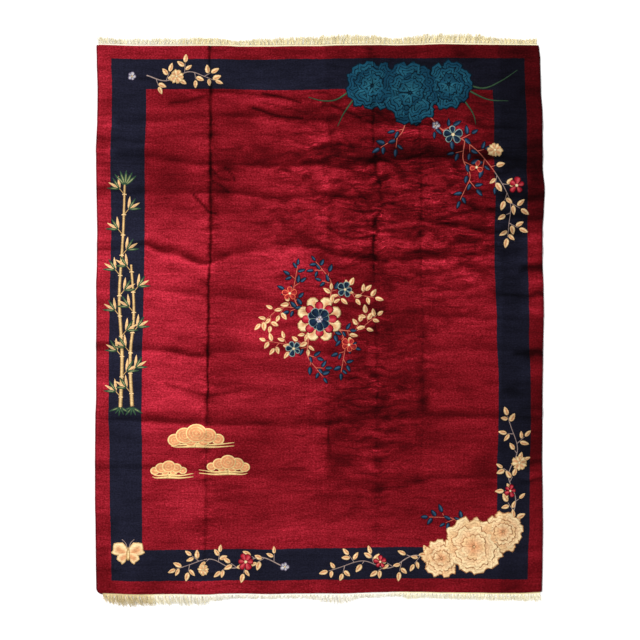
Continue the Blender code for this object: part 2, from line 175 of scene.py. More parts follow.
# Smaller creases from the folding, as soft dents in the pile, or as low folds where the depth is negative
Crease = namedtuple("Crease", "half_width depth_mm points")
CREASES = [
    Crease(0.016, 0.9, [(-0.849, -0.351), (-0.618, -0.417), (-0.437, -0.39)]),
    Crease(0.012, 1.7, [(-0.7, 0.69), (-0.655, 0.64), (-0.612, 0.592), (-0.57, 0.58)]),
    Crease(0.012, 0.8, [(0.35, 0.6), (0.702, 0.589)]),
    Crease(0.012, 0.9, [(0.14, 1.0), (0.2, 0.93), (0.29, 0.905)]),
    Crease(0.014, 1.0, [(0.17, 0.735), (0.23, 0.68), (0.3, 0.56), (0.318, 0.47)]),
    Crease(0.013, 1.5, [(0.042, 0.505), (0.11, 0.465), (0.18, 0.44), (0.3, 0.455)]),
    Crease(0.01, 0.8, [(0.311, 0.655), (0.345, 0.61), (0.4, 0.598)]),
    Crease(0.014, 0.8, [(-0.6, 0.8), (-0.5, 0.83), (-0.33, 0.815)]),
    Crease(0.012, 0.7, [(-0.59, 0.52), (-0.48, 0.545), (-0.3, 0.535)]),
    Crease(0.012, 0.8, [(0.62, 0.7), (0.76, 0.675), (0.9, 0.7)]),
    Crease(0.014, 1.7, [(0.069, 1.178), (0.152, 1.139), (0.229, 1.1)]),
    Crease(0.012, 1.4, [(0.317, 1.128), (0.405, 1.068), (0.52, 1.05)]),
    Crease(0.014, 1.4, [(0.102, 0.969), (0.19, 0.941)]),
    Crease(0.012, 1.4, [(0.19, 0.639), (0.23, 0.59), (0.267, 0.523)]),
    Crease(0.018, 1.3, [(0.65, 0.55), (0.78, 0.575), (0.883, 0.611), (0.96, 0.6)]),
    Crease(0.012, 1.1, [(0.565, 0.505), (0.66, 0.473)]),
    Crease(0.012, 1.0, [(-0.594, 0.96), (-0.54, 0.93), (-0.43, 0.945)]),
    Crease(0.012, 1.3, [(-0.596, 0.83), (-0.56, 0.78), (-0.5, 0.765)]),
    Crease(0.012, 1.8, [(-0.31, 1.245), (-0.2, 1.225), (-0.107, 1.194)]),
    Crease(0.014, 1.9, [(-0.37, 1.166), (-0.228, 1.12), (-0.1, 1.106)]),
    Crease(0.008, 1.3, [(-0.33, 1.2), (-0.21, 1.172), (-0.105, 1.148)]),
    Crease(0.014, 1.2, [(-0.83, 1.19), (-0.74, 1.2), (-0.62, 1.235)]),
    Crease(0.01, 1.5, [(-0.59, 0.765), (-0.545, 0.735), (-0.505, 0.7)]),
    Crease(0.01, 1.4, [(-0.525, 0.84), (-0.48, 0.8), (-0.47, 0.765)]),
    Crease(0.012, 1.3, [(0.062, -0.56), (0.05, -0.64), (0.06, -0.72)]),
    Crease(0.007, -1.4, [(-0.596, 0.845), (-0.565, 0.825), (-0.545, 0.795)]),
    Crease(0.007, -1.4, [(-0.66, 0.69), (-0.63, 0.702), (-0.608, 0.68)]),
    Crease(0.008, -0.8, [(0.08, 1.079), (0.119, 0.991)]),
    Crease(0.007, -0.8, [(-0.261, 0.727), (0.113, 0.743), (0.245, 0.765), (0.306, 0.815)]),
    Crease(0.007, -1.0, [(0.295, 0.474), (0.355, 0.512)]),
    Crease(0.007, -0.7, [(0.48, 0.8), (0.6, 0.78), (0.7, 0.79)]),
    Crease(0.007, -0.9, [(-0.59, 0.9), (-0.565, 0.88), (-0.52, 0.89)]),
]

# Painted light and shade of each folded panel, for the way its nap takes the light, from left to right, and
# the groove or line at its right edge
Panel = namedtuple("Panel", "name tone right_edge")
PANELS = [
    Panel("left_rim", 0.94, -1.000),
    Panel("left", 0.94, "left_press"),
    Panel("centre_left", 0.80, 0.042),
    Panel("centre_right", 0.57, "middle_press"),
    Panel("middle_right", 0.52, "right_press"),
    Panel("right", 0.62, 1.000),
    Panel("right_rim", 0.40, None),
]
PANEL_BLEND = 0.020  # the stretch in which one panel's tone passes into the next
FOOT_TONE = 0.62  # the panels grow alike towards the foot
FOOT_SHARE = 0.75  # and come so near to that tone
FOOT_START = -0.70
FOOT_FULL = -1.10
FOOT_HALF_WIDTH = 1.10  # but not at the two sides
FOOT_SIDE_FADE = 0.20

# Broad patches of painted light and painted shade on the pile, lighter where gain is positive and darker
# where it is negative
PaintedPool = namedtuple("PaintedPool", "x y half_x half_y gain")
PAINTED_POOLS = rows(
    PaintedPool,
    (-0.95, 0.1, 0.6, 1.1, 0.38), (1.0, 1.3, 1.2, 0.75, -0.55), (0.18, -0.45, 0.3, 0.5, -0.12),
    (-0.25, -0.75, 0.45, 0.35, -0.15), (0.75, 0.12, 0.45, 0.45, 0.25), (-0.75, 1.15, 0.5, 0.45, -0.22),
    (1.23, 0.0, 0.16, 1.6, -0.3), (1.19, 0.8, 0.14, 0.34, -0.7), (1.19, 0.38, 0.13, 0.22, 1.2),
    (1.19, 0.08, 0.13, 0.17, 1.3), (1.19, -0.55, 0.14, 0.28, -0.42), (1.19, -1.32, 0.14, 0.32, 0.5),
    (-0.85, 0.78, 0.3, 0.3, -0.58), (-0.26, 0.32, 0.42, 0.26, 0.5), (0.41, 1.07, 0.4, 0.085, 0.55),
    (0.8, 1.07, 0.32, 0.08, 0.8), (0.35, 0.43, 0.42, 0.17, 0.9), (0.55, 0.9, 0.75, 0.13, -0.52),
    (0.42, -0.03, 0.36, 0.12, -0.45), (-0.1, 0.1, 0.2, 0.12, -0.35), (-0.36, -0.09, 0.28, 0.19, 0.55),
    (-0.8, -0.38, 0.3, 0.22, 0.55), (-0.78, -1.02, 0.3, 0.26, 0.6), (0.0, -1.2, 0.85, 0.18, 0.42),
    (-1.19, -1.36, 0.14, 0.42, -0.48), (0.38, -1.44, 0.3, 0.11, -0.25), (-0.48, -1.46, 0.46, 0.09, 0.4),
    (1.0, -1.46, 0.26, 0.1, -0.32), (-0.3, 1.45, 0.45, 0.11, -0.34), (0.29, 1.46, 0.07, 0.07, -0.4),
    (0.81, 1.46, 0.09, 0.07, -0.5), (1.14, 1.46, 0.14, 0.09, -0.32), (-0.53, 0.7, 0.09, 0.075, -0.55),
    (-0.5, 0.83, 0.09, 0.08, -0.45), (0.1, -0.51, 0.08, 0.065, -0.28), (0.22, -0.345, 0.11, 0.045, -0.45),
    (0.335, -0.43, 0.07, 0.07, -0.48), (0.16, -0.78, 0.12, 0.05, -0.5), (0.32, -0.93, 0.045, 0.07, -0.5),
    (0.57, -0.33, 0.04, 0.2, -0.45), (0.83, 0.62, 0.26, 0.075, -0.5), (0.93, 0.53, 0.09, 0.065, 0.45),
    (0.93, 0.385, 0.07, 0.045, -0.42), (1.07, 0.86, 0.1, 0.06, -0.55), (1.07, 0.28, 0.1, 0.11, 0.45),
    (1.07, -0.39, 0.1, 0.07, -0.6), (-0.06, 1.14, 0.2, 0.13, -0.45), (-0.76, 1.21, 0.3, 0.06, -0.38),
    (-0.62, 0.32, 0.075, 0.11, 0.45), (-0.07, 0.47, 0.12, 0.1, -0.38), (-0.45, 1.08, 0.17, 0.06, -0.48),
    (0.05, 0.935, 0.22, 0.065, -0.55), (-0.28, 0.93, 0.32, 0.055, -0.45), (0.35, 0.72, 0.075, 0.15, -0.34),
    (-0.56, 0.8, 0.17, 0.21, -0.36), (-0.03, 0.72, 0.075, 0.2, -0.38), (0.94, 0.68, 0.12, 0.38, -0.38),
    (0.26, 0.655, 0.21, 0.06, -0.58), (0.21, 0.46, 0.075, 0.11, 0.5), (0.12, 0.37, 0.21, 0.08, 0.48),
    (0.75, 0.36, 0.31, 0.06, 0.48), (-0.17, 0.23, 0.14, 0.06, -0.38), (0.88, 0.22, 0.15, 0.08, 0.55),
    (-0.45, -0.45, 0.31, 0.08, 0.32), (0.28, -0.33, 0.29, 0.075, 0.32), (0.57, -0.1, 0.06, 0.12, -0.45),
    (0.57, -0.45, 0.06, 0.07, -0.68), (-0.64, -0.585, 0.08, 0.045, 1.3), (-0.64, -0.38, 0.07, 0.12, 0.42),
    (-0.45, -0.77, 0.2, 0.11, -0.46), (0.92, -0.83, 0.16, 0.14, -0.58), (0.28, -0.8, 0.21, 0.13, 0.35),
    (0.57, 0.24, 0.07, 0.07, 0.5), (0.15, 1.07, 0.12, 0.06, 0.42), (0.21, 0.79, 0.15, 0.055, -0.42),
    (0.81, 0.79, 0.09, 0.055, -0.42),
)

# Painted shade and painted light of small waves of the two long rims, as bars that reach so far in: darker,
# or lighter where gain is positive
Bar = namedtuple("Bar", "y half_y reach gain")
LEFT_BARS = rows(
    Bar,
    (1.09, 0.045, 0.1, 1.1), (0.99, 0.03, 0.26, -0.45), (0.92, 0.03, 0.1, 0.9), (0.86, 0.032, 0.28, -0.45),
    (0.7, 0.05, 0.27, -0.4), (0.45, 0.03, 0.27, 0.45), (0.29, 0.08, 0.1, 0.35), (-0.14, 0.025, 0.2, -0.4),
    (-0.35, 0.06, 0.1, 0.4), (-0.82, 0.06, 0.12, -0.3), (-1.13, 0.07, 0.12, -0.24),
    (-1.28, 0.11, 0.1, 0.45),
)

RIGHT_BARS = rows(
    Bar,
    (1.25, 0.06, 0.12, -0.5), (1.06, 0.04, 0.1, 0.25), (0.955, 0.055, 0.12, -0.62),
    (0.83, 0.06, 0.26, -0.45), (0.73, 0.035, 0.12, 0.5), (0.675, 0.05, 0.26, -0.62),
    (0.565, 0.04, 0.26, -0.66), (0.455, 0.035, 0.1, 0.6), (0.375, 0.03, 0.12, 0.35),
    (0.275, 0.04, 0.12, -0.85), (0.205, 0.045, 0.12, 1.0), (0.13, 0.03, 0.27, -0.65),
    (0.05, 0.06, 0.12, 0.3), (-0.08, 0.045, 0.12, 0.2), (-0.19, 0.045, 0.16, -0.85),
    (-0.29, 0.06, 0.12, 0.55), (-0.49, 0.03, 0.12, -0.35), (-0.535, 0.025, 0.12, 0.6),
    (-0.72, 0.075, 0.12, -0.3), (-0.79, 0.035, 0.12, -0.6), (-0.855, 0.035, 0.12, 0.7),
    (-0.89, 0.025, 0.12, -0.55), (-1.05, 0.15, 0.1, 0.2), (-1.37, 0.08, 0.1, -0.32),
)

BAR_FADE = 0.050

# Painted shade and painted highlight beside a ridge's crest, in half-widths towards the foot: where
# each starts, is full, fades and is gone
SHADE_SPAN = (-1.0, 0.5, 0.60, 0.85)
HIGHLIGHT_SPAN = (0.80, 1.05, 1.05, 2.55)
RIDGE_SHADE = 0.58  # painted shade: how much darker the pile is along a ridge of full height
RIDGE_DARKEST = 0.88
RIDGE_HIGHLIGHT = 0.36  # painted highlight: how much lighter it is on the foot side of that ridge
FULL_RIDGE = 0.010

DEEP_GROOVE = 0.004
BESIDE_SHADE = 0.20  # painted shade: how much darker the whole of a deep groove is
BESIDE_REACH = 1.5  # in half-widths of the groove
LINE_LOSS = 0.4  # a wholly broken line is shallower by so much
LINE_DEEPEST = 1.25
LINE_DARKEST = 0.92
LINE_FADE = 0.65  # the painted shade lines fade towards the foot
LINE_FADE_START = -0.36
LINE_FADE_RUN = 0.30
# painted shade along the creases, and painted highlight where a crease's depth is negative
CREASE_SHADE = 0.45
# the darkest that the painted shade may make the pile
DARKEST_SHADE = 0.04

# Where the pile is crumpled: most in the middle of the upper half, least at the foot
Crumpled = namedtuple("Crumpled", "amount x half_x y half_y")
CRUMPLED = rows(
    Crumpled,
    (0.84, 0.34, 0.95, 0.74, 1.05), (0.62, 0.26, 0.50, -0.45, 0.75), (0.45, 0.85, 0.45, 0.60, 0.75),
)
CRUMPLED_ALL_OVER = 0.16
CRUMPLED_BESIDE = 0.35  # beside a deep groove, so much more
CRUMPLE_REACH = 0.075  # how far beside it

# Layers of soft patches: how strong each is, how long its patches are across and along the rug, and a seed
Patches = namedtuple("Patches", "amount across along seed")
PATCH_GRID = 512  # the patches repeat after so many
NO_CHANGE = 1.0  # for a layer that is read along one line only
GROOVE_WANDER = rows(Patches, (0.0045, NO_CHANGE, 0.040, 3), (0.0025, NO_CHANGE, 0.013, 5))
STEADY_WANDER = 0.6  # what an unbroken groove takes of that
PILE_WAVES = rows(Patches, (0.5 * MM, 0.110, 0.070, 11))
CRUMPLE_WAVES = rows(Patches, (1.1 * MM, 0.060, 0.032, 12))
PANEL_WANDER = rows(Patches, (0.006, 0.09, 0.05, 21), (0.008, 0.02, 0.016, 22))
POOL_WANDER_ACROSS = rows(Patches, (0.022, 0.06, 0.03, 47))
POOL_WANDER_ALONG = rows(Patches, (0.014, 0.05, 0.03, 48))
CREST_WANDER = rows(Patches, (0.007, 0.06, 0.03, 30))
CREST_STRENGTH = rows(Patches, (0.5, 0.10, 0.04, 50))
LINE_BREAKS = rows(Patches, (1.3, 0.06, 0.035, 4))
LINE_WIDTHS = rows(Patches, (0.6, NO_CHANGE, 0.060, 6))
NAP_CLOUDS = rows(Patches, (0.14, 0.30, 0.16, 41), (0.14, 0.16, 0.035, 42))
# Patches of painted light and painted shade in the crumpled pile, with the bend of their places
PATCH_BEND_ACROSS = rows(Patches, (0.05, 0.15, 0.10, 45))
PATCH_BEND_ALONG = rows(Patches, (0.03, 0.12, 0.10, 46))
CRUMPLE_SHADE_PATCHES = rows(Patches, (0.70, 0.110, 0.036, 43), (0.65, 0.048, 0.018, 44))
LIGHT_PATCHES = 0.50  # how much of the painted light shows where they are lighter, and of the painted shade where they are darker
DARK_PATCHES = 1.25

CELL_ACROSS = 0.0125  # about the spacing of the cloth's grid of points across the rug
CELL_ALONG = 0.0082
GROOVE_CELLS = 8
RIM_CELLS = 4
UNDER_ACROSS = 4  # the underside keeps one in so many of the grid's lines across, and along
UNDER_ALONG = 2
CLOTH_CREASE = math.radians(50)  # flatter edges than this are shaded smooth


def smooth(share):
    """Eases shares from 0 to 1."""
    share = np.clip(share, 0.0, 1.0)
    return share * share * (3.0 - 2.0 * share)


def eased(table, at, column):
    """A table's named column at many places, eased between its rows. The first column says where a row is."""
    places = np.array([row[0] for row in table])
    values = np.array([getattr(row, column) for row in table])
    at = np.clip(at, places[0], places[-1])
    high = np.clip(np.searchsorted(places, at), 1, len(places) - 1)
    share = smooth((at - places[high - 1]) / (places[high] - places[high - 1]))
    return values[high - 1] + (values[high] - values[high - 1]) * share


def hill(distance, half_width):
    """A soft hill across a fold: 1 along its middle, 0 from its half-width on."""
    return 0.5 + 0.5 * np.cos(np.pi * np.clip(np.abs(distance) / half_width, 0.0, 1.0))


def within(value, start, full, fading, gone):
    """Rises from 0 at the start to 1 when full, and falls back from fading to gone."""
    return smooth((value - start) / (full - start)) * (1.0 - smooth((value - fading) / (gone - fading)))


def mottle(x, y, layers, shift=0):
    """Adds up layers of soft seeded patches, each from minus to plus its amount."""
    total = 0.0
    for layer in layers:
        lattice = np.random.default_rng(layer.seed + shift).uniform(-1.0, 1.0, (PATCH_GRID, PATCH_GRID))
        u, v = x / layer.across + PATCH_GRID / 2, y / layer.along + PATCH_GRID / 2
        column, row = np.floor(u).astype(int), np.floor(v).astype(int)
        right, up = smooth(u - column), smooth(v - row)
        column, row = column % PATCH_GRID, row % PATCH_GRID
        next_column, next_row = (column + 1) % PATCH_GRID, (row + 1) % PATCH_GRID
        lower = lattice[row, column] * (1 - right) + lattice[row, next_column] * right
        upper = lattice[next_row, column] * (1 - right) + lattice[next_row, next_column] * right
        total = total + layer.amount * (lower * (1 - up) + upper * up)
    return total


def from_line(x, y, points):
    """Distance from places to a line through points."""
    nearest = np.full(np.shape(x), np.inf)
    for (ax, ay), (bx, by) in zip(points, points[1:]):
        run_x, run_y = bx - ax, by - ay
        share = np.clip(((x - ax) * run_x + (y - ay) * run_y) / (run_x ** 2 + run_y ** 2), 0.0, 1.0)
        nearest = np.minimum(nearest, np.hypot(x - ax - run_x * share, y - ay - run_y * share))
    return nearest


def lift_at(s, t):
    """How far the ridges raise the whole cloth off the floor."""
    lift = sum(
        hill(t - eased(ridge.crest, s, "y"), ridge.half_width) * eased(ridge.crest, s, "height_mm")
        for ridge in RIDGES
    )
    return lift * MM * smooth((HALF_LENGTH - np.abs(t)) / END_FADE)


def groove_depth(groove, t):
    """How deep a groove is at places along the rug."""
    return eased(groove.bottom, t, "depth_mm") * MM


def groove_bottom(groove, t):
    """Where the bottom of a groove runs, a little unsteadily."""
    return eased(groove.bottom, t, "x") + (STEADY_WANDER + groove.broken) * mottle(t * 0, t, GROOVE_WANDER)


def crumple_at(s, t):
    """How crumpled the pile is."""
    crumple = CRUMPLED_ALL_OVER
    for place in CRUMPLED:
        crumple = crumple + place.amount * hill(s - place.x, place.half_x) * hill(t - place.y, place.half_y)
    for groove in GROOVES:
        beside = hill(s - eased(groove.bottom, t, "x"), CRUMPLE_REACH)
        crumple += CRUMPLED_BESIDE * beside * groove_depth(groove, t) / DEEP_GROOVE
    return crumple


def pile_at(s, t):
    """Height of the pile's tips above the underside."""
    height = np.full(np.shape(s), THICKNESS)
    for groove in GROOVES:
        height -= hill(s - groove_bottom(groove, t), groove.half_width) * groove_depth(groove, t)
    for crease in CREASES:
        height -= hill(from_line(s, t, crease.points), crease.half_width) * crease.depth_mm * MM
    height += mottle(s, t, PILE_WAVES) + mottle(s, t, CRUMPLE_WAVES) * crumple_at(s, t)
    inside = np.minimum(HALF_WIDTH - np.abs(s), HALF_LENGTH - np.abs(t))
    return height - RIM_DROP * (1.0 - smooth(inside / RIM_WIDTH))


def round_corner(s, t):
    """Moves places near a corner of the rectangle onto the corner's rounded form."""
    radius = np.where((s < 0) & (t < 0), WORN_CORNER, CORNER)
    across = (radius - (HALF_WIDTH - np.abs(s))) / radius
    along = (radius - (HALF_LENGTH - np.abs(t))) / radius
    near = (across > 0) & (along > 0)
    s_inset = radius * across * (1.0 - np.sqrt(1.0 - np.clip(along, 0, 1) ** 2 / 2))
    t_inset = radius * along * (1.0 - np.sqrt(1.0 - np.clip(across, 0, 1) ** 2 / 2))
    return s - np.where(near, np.sign(s) * s_inset, 0.0), t - np.where(near, np.sign(t) * t_inset, 0.0)


def drift_at(s, t):
    """How far a place of the straight cloth has wandered."""
    left, right = eased(SIDE_DRIFT, t, "left_mm"), eased(SIDE_DRIFT, t, "right_mm")
    foot, head = eased(END_DRIFT, s, "foot_mm"), eased(END_DRIFT, s, "head_mm")
    across, along = s / PILE_WIDTH + 0.5, t / PILE_LENGTH + 0.5
    return (left + (right - left) * across) * MM, (foot + (head - foot) * along) * MM


def plan_at(s, t):
    """Where a place of the straight cloth lies on the floor."""
    s, t = round_corner(s, t)
    drift_x, drift_y = drift_at(s, t)
    return s + drift_x, t + drift_y


def panel_shading(s, t):
    """Painted light and shade of the folded panel that a place is in."""
    wavy = s + mottle(s, t, PANEL_WANDER)
    tone = np.full(np.shape(s), PANELS[0].tone)
    presses = {groove.name: groove for groove in GROOVES}
    for panel, next_panel in zip(PANELS, PANELS[1:]):
        edge = panel.right_edge
        if edge in presses:
            edge = eased(presses[edge].bottom, t, "x")
        tone += (next_panel.tone - panel.tone) * smooth((wavy - edge) / PANEL_BLEND + 0.5)
    at_foot = smooth((FOOT_START - t) / (FOOT_START - FOOT_FULL))
    at_foot *= smooth((FOOT_HALF_WIDTH - np.abs(s)) / FOOT_SIDE_FADE)
    return tone + (FOOT_TONE - tone) * FOOT_SHARE * at_foot


def pool_and_bar_shading(s, t):
    """How the broad patches and the bars of the rims change the tone, as painted light and shade."""
    away_s, away_t = s + mottle(s, t, POOL_WANDER_ACROSS), t + mottle(s, t, POOL_WANDER_ALONG)
    tone = 1.0
    for patch in PAINTED_POOLS:
        away = np.hypot((away_s - patch.x) / patch.half_x, (away_t - patch.y) / patch.half_y)
        tone = tone * (1.0 + patch.gain * (1.0 - smooth(away)))
    for bars, from_rim in ((LEFT_BARS, HALF_WIDTH + s), (RIGHT_BARS, HALF_WIDTH - s)):
        for bar in bars:
            inward = 1.0 - smooth((from_rim - bar.reach) / BAR_FADE + 0.5)
            tone = tone * (1.0 + bar.gain * hill(away_t - bar.y, bar.half_y) * inward)
    return tone


def fold_shading(s, t):
    """Painted shade and painted highlights of the ridges, grooves and creases, as a change of the tone."""
    tone = 1.0
    for number, ridge in enumerate(RIDGES):
        from_crest = t - eased(ridge.crest, s, "y") + mottle(s, t, CREST_WANDER, number)
        below = -from_crest / ridge.half_width
        height = eased(ridge.crest, s, "height_mm") * MM / FULL_RIDGE
        height *= 1.0 + mottle(s, t, CREST_STRENGTH, number)
        tone = tone * (1.0 - np.minimum(RIDGE_SHADE * height * within(below, *SHADE_SPAN), RIDGE_DARKEST))
        tone = tone * (1.0 + RIDGE_HIGHLIGHT * height * within(below, *HIGHLIGHT_SPAN))
    # Painted shade along and beside each pressed groove, fading towards the foot
    fade = 1.0 - LINE_FADE * smooth((LINE_FADE_START - t) / LINE_FADE_RUN)
    for groove in GROOVES:
        whole = 1.0 + groove.broken * (mottle(s, t, LINE_BREAKS) - LINE_LOSS)
        depth = groove_depth(groove, t) / DEEP_GROOVE * np.clip(whole, 0.0, LINE_DEEPEST) * fade
        aside = s - groove_bottom(groove, t)
        reach = groove.line_reach * (1.0 + mottle(s * 0, t, LINE_WIDTHS))
        tone *= 1.0 - np.minimum(groove.shade * depth, LINE_DARKEST) * hill(aside, reach)
        tone *= 1.0 - BESIDE_SHADE * depth * hill(aside, groove.half_width * BESIDE_REACH)
    # Painted shade along each crease, and painted highlight where its depth is negative
    for crease in CREASES:
        tone *= 1.0 - CREASE_SHADE * crease.depth_mm * hill(from_line(s, t, crease.points), crease.half_width)
    return tone


def painted_light_at(s, t):
    """Painted light and shade at a place: its panel, its broad patches and rim bars, its folds and its
    patches.
    """
    tone = panel_shading(s, t) * pool_and_bar_shading(s, t) * fold_shading(s, t) * (1.0 + mottle(s, t, NAP_CLOUDS))
    bent_s, bent_t = s + mottle(s, t, PATCH_BEND_ACROSS), t + mottle(s, t, PATCH_BEND_ALONG)
    patches = mottle(bent_s, bent_t, CRUMPLE_SHADE_PATCHES)
    patches *= np.where(patches > 0.0, LIGHT_PATCHES, DARK_PATCHES)
    return np.maximum(tone * np.exp(crumple_at(s, t) * patches), DARKEST_SHADE)


def shared_out(counts):
    """For each line of a grid, the stretch between two knots that it is in and its share of the way."""
    stretch = np.repeat(np.arange(len(counts)), counts)
    share = np.concatenate([np.arange(count) / count for count in counts])
    return np.append(stretch, len(counts) - 1), np.append(share, 1.0)


def even_count(length, cell):
    """How many cells of about one size a length takes, so that the underside can keep its share."""
    return UNDER_ACROSS * math.ceil(length / (UNDER_ACROSS * cell))


def cloth_places(thin_across, thin_along):
    """Places of the cloth's grid, rows from foot to head. Thinning 2 keeps every second line."""
    row_knots = np.array([-HALF_LENGTH, RIM_WIDTH - HALF_LENGTH, HALF_LENGTH - RIM_WIDTH, HALF_LENGTH])
    row_counts = [RIM_CELLS, even_count(row_knots[2] - row_knots[1], CELL_ALONG), RIM_CELLS]
    stretch, share = shared_out([count // thin_along for count in row_counts])
    t = row_knots[stretch] * (1 - share) + row_knots[stretch + 1] * share

    knots = [np.full(len(t), -HALF_WIDTH), np.full(len(t), RIM_WIDTH - HALF_WIDTH)]
    counts = [RIM_CELLS]
    for groove in GROOVES:
        bottom = eased(groove.bottom, t, "x")
        counts += [even_count(bottom.mean() - knots[-1].mean(), CELL_ACROSS), GROOVE_CELLS]
        knots += [bottom - groove.half_width, bottom + groove.half_width]
    counts += [even_count(HALF_WIDTH - knots[-1].mean(), CELL_ACROSS), RIM_CELLS]
    knots += [np.full(len(t), HALF_WIDTH - RIM_WIDTH), np.full(len(t), HALF_WIDTH)]
    knots = np.stack(knots, axis=1)
    stretch, share = shared_out([count // thin_across for count in counts])
    s = knots[:, stretch] * (1 - share) + knots[:, stretch + 1] * share
    return s, np.repeat(t[:, None], s.shape[1], axis=1)


def deselect():
    """Nothing stays selected, so that an operator acts only on what comes next."""
    if bpy.context.object and bpy.context.object.mode != "OBJECT":
        bpy.ops.object.mode_set(mode="OBJECT")
    bpy.ops.object.select_all(action="DESELECT")


def faces_out():
    """Turns every face of the mesh that is being edited outward."""
    bpy.ops.mesh.select_all(action="SELECT")
    bpy.ops.mesh.normals_make_consistent(inside=False)


def points_of(made):
    """The points of a mesh, one to a row."""
    flat = np.empty(len(made.data.vertices) * 3)
    made.data.vertices.foreach_get("co", flat)
    return flat.reshape(-1, 3)


def plain_grid(columns, rows_along):
    """A grid primitive, with the column and row of each of its points."""
    deselect()
    bpy.ops.mesh.primitive_grid_add(x_subdivisions=columns - 1, y_subdivisions=rows_along - 1, size=1.0)
    made = bpy.context.object
    share = points_of(made) + 0.5
    column = np.rint(share[:, 0] * (columns - 1)).astype(int)
    return made, column, np.rint(share[:, 1] * (rows_along - 1)).astype(int)


def grid_layer(s, t, height):
    """A grid primitive laid over the places s, t of the cloth, at a height above the floor."""
    layer, column, row = plain_grid(s.shape[1], s.shape[0])
    x, y = plan_at(s, t)
    placed = np.stack([x[row, column], y[row, column], height[row, column]], axis=1)
    layer.data.vertices.foreach_set("co", placed.ravel())
    layer.data.update()
    return layer, s[row, column], t[row, column]


def measured(mesh, name, values):
    """Stores one number for each point of a mesh."""
    mesh.attributes.new(name, "FLOAT", "POINT").data.foreach_set("value", values)


def mapped(mesh, name, across, along):
    """Stores a UV map that is given for each point of a mesh."""
    corners = np.empty(len(mesh.loops), dtype=int)
    mesh.loops.foreach_get("vertex_index", corners)
    while mesh.uv_layers:
        mesh.uv_layers.remove(mesh.uv_layers[0])
    layer = mesh.uv_layers.new(name=name)
    layer.data.foreach_set("uv", np.stack([across[corners], along[corners]], axis=1).ravel())


# Widths of the crimson guard and of guard and navy border together, in places along each side
Bands = namedtuple("Bands", "at guard_mm border_mm")
LEFT_BANDS = rows(
    Bands,
    (-1.325, 78, 249), (-1.0, 75, 252), (-0.72, 73, 253), (-0.46, 63, 246), (-0.2, 63, 247),
    (-0.06, 64, 251), (0.215, 69, 256), (0.49, 71, 257), (0.875, 72, 262), (1.12, 73, 264),
)

RIGHT_BANDS = rows(
    Bands,
    (-1.325, 74, 248), (-1.105, 66, 246), (-0.83, 62, 243), (-0.61, 56, 236), (-0.37, 59, 236),
    (-0.06, 73, 251), (0.215, 75, 259), (0.4, 75, 260), (0.71, 86, 262), (0.9, 81, 262),
)

FOOT_BANDS = rows(
    Bands,
    (-0.9, 71, 242), (-0.55, 73, 246), (-0.327, 72, 245), (0.058, 75, 249), (0.46, 73, 247),
    (0.883, 77, 244), (1.15, 73, 244),
)

HEAD_BANDS = rows(
    Bands,
    (-0.877, 73, 238), (-0.43, 72, 238), (-0.16, 70, 242), (0.058, 72, 240), (0.443, 71, 247),
    (0.66, 75, 248), (1.048, 73, 249),
)


def drawn_distance(from_rim, bands, at, half):
    """Turns a distance from the rim into the one on the drawn plan, where every band is straight."""
    guard, border = eased(bands, at, "guard_mm") * MM, eased(bands, at, "border_mm") * MM
    inner = BORDER_REACH + (from_rim - border) / (half - border) * (half - BORDER_REACH)
    navy = GUARD_WIDTH + (from_rim - guard) / (border - guard) * (BORDER_REACH - GUARD_WIDTH)
    rim = from_rim / guard * GUARD_WIDTH
    return np.where(from_rim < guard, rim, np.where(from_rim < border, navy, inner))


def drawn_at(s, t):
    """Where a place of the cloth is on the drawn plan of its bands."""
    left = drawn_distance(s + HALF_WIDTH, LEFT_BANDS, t, HALF_WIDTH) - HALF_WIDTH
    right = HALF_WIDTH - drawn_distance(HALF_WIDTH - s, RIGHT_BANDS, t, HALF_WIDTH)
    foot = drawn_distance(t + HALF_LENGTH, FOOT_BANDS, s, HALF_LENGTH) - HALF_LENGTH
    head = HALF_LENGTH - drawn_distance(HALF_LENGTH - t, HEAD_BANDS, s, HALF_LENGTH)
    return np.where(s < 0, left, right), np.where(t < 0, foot, head)


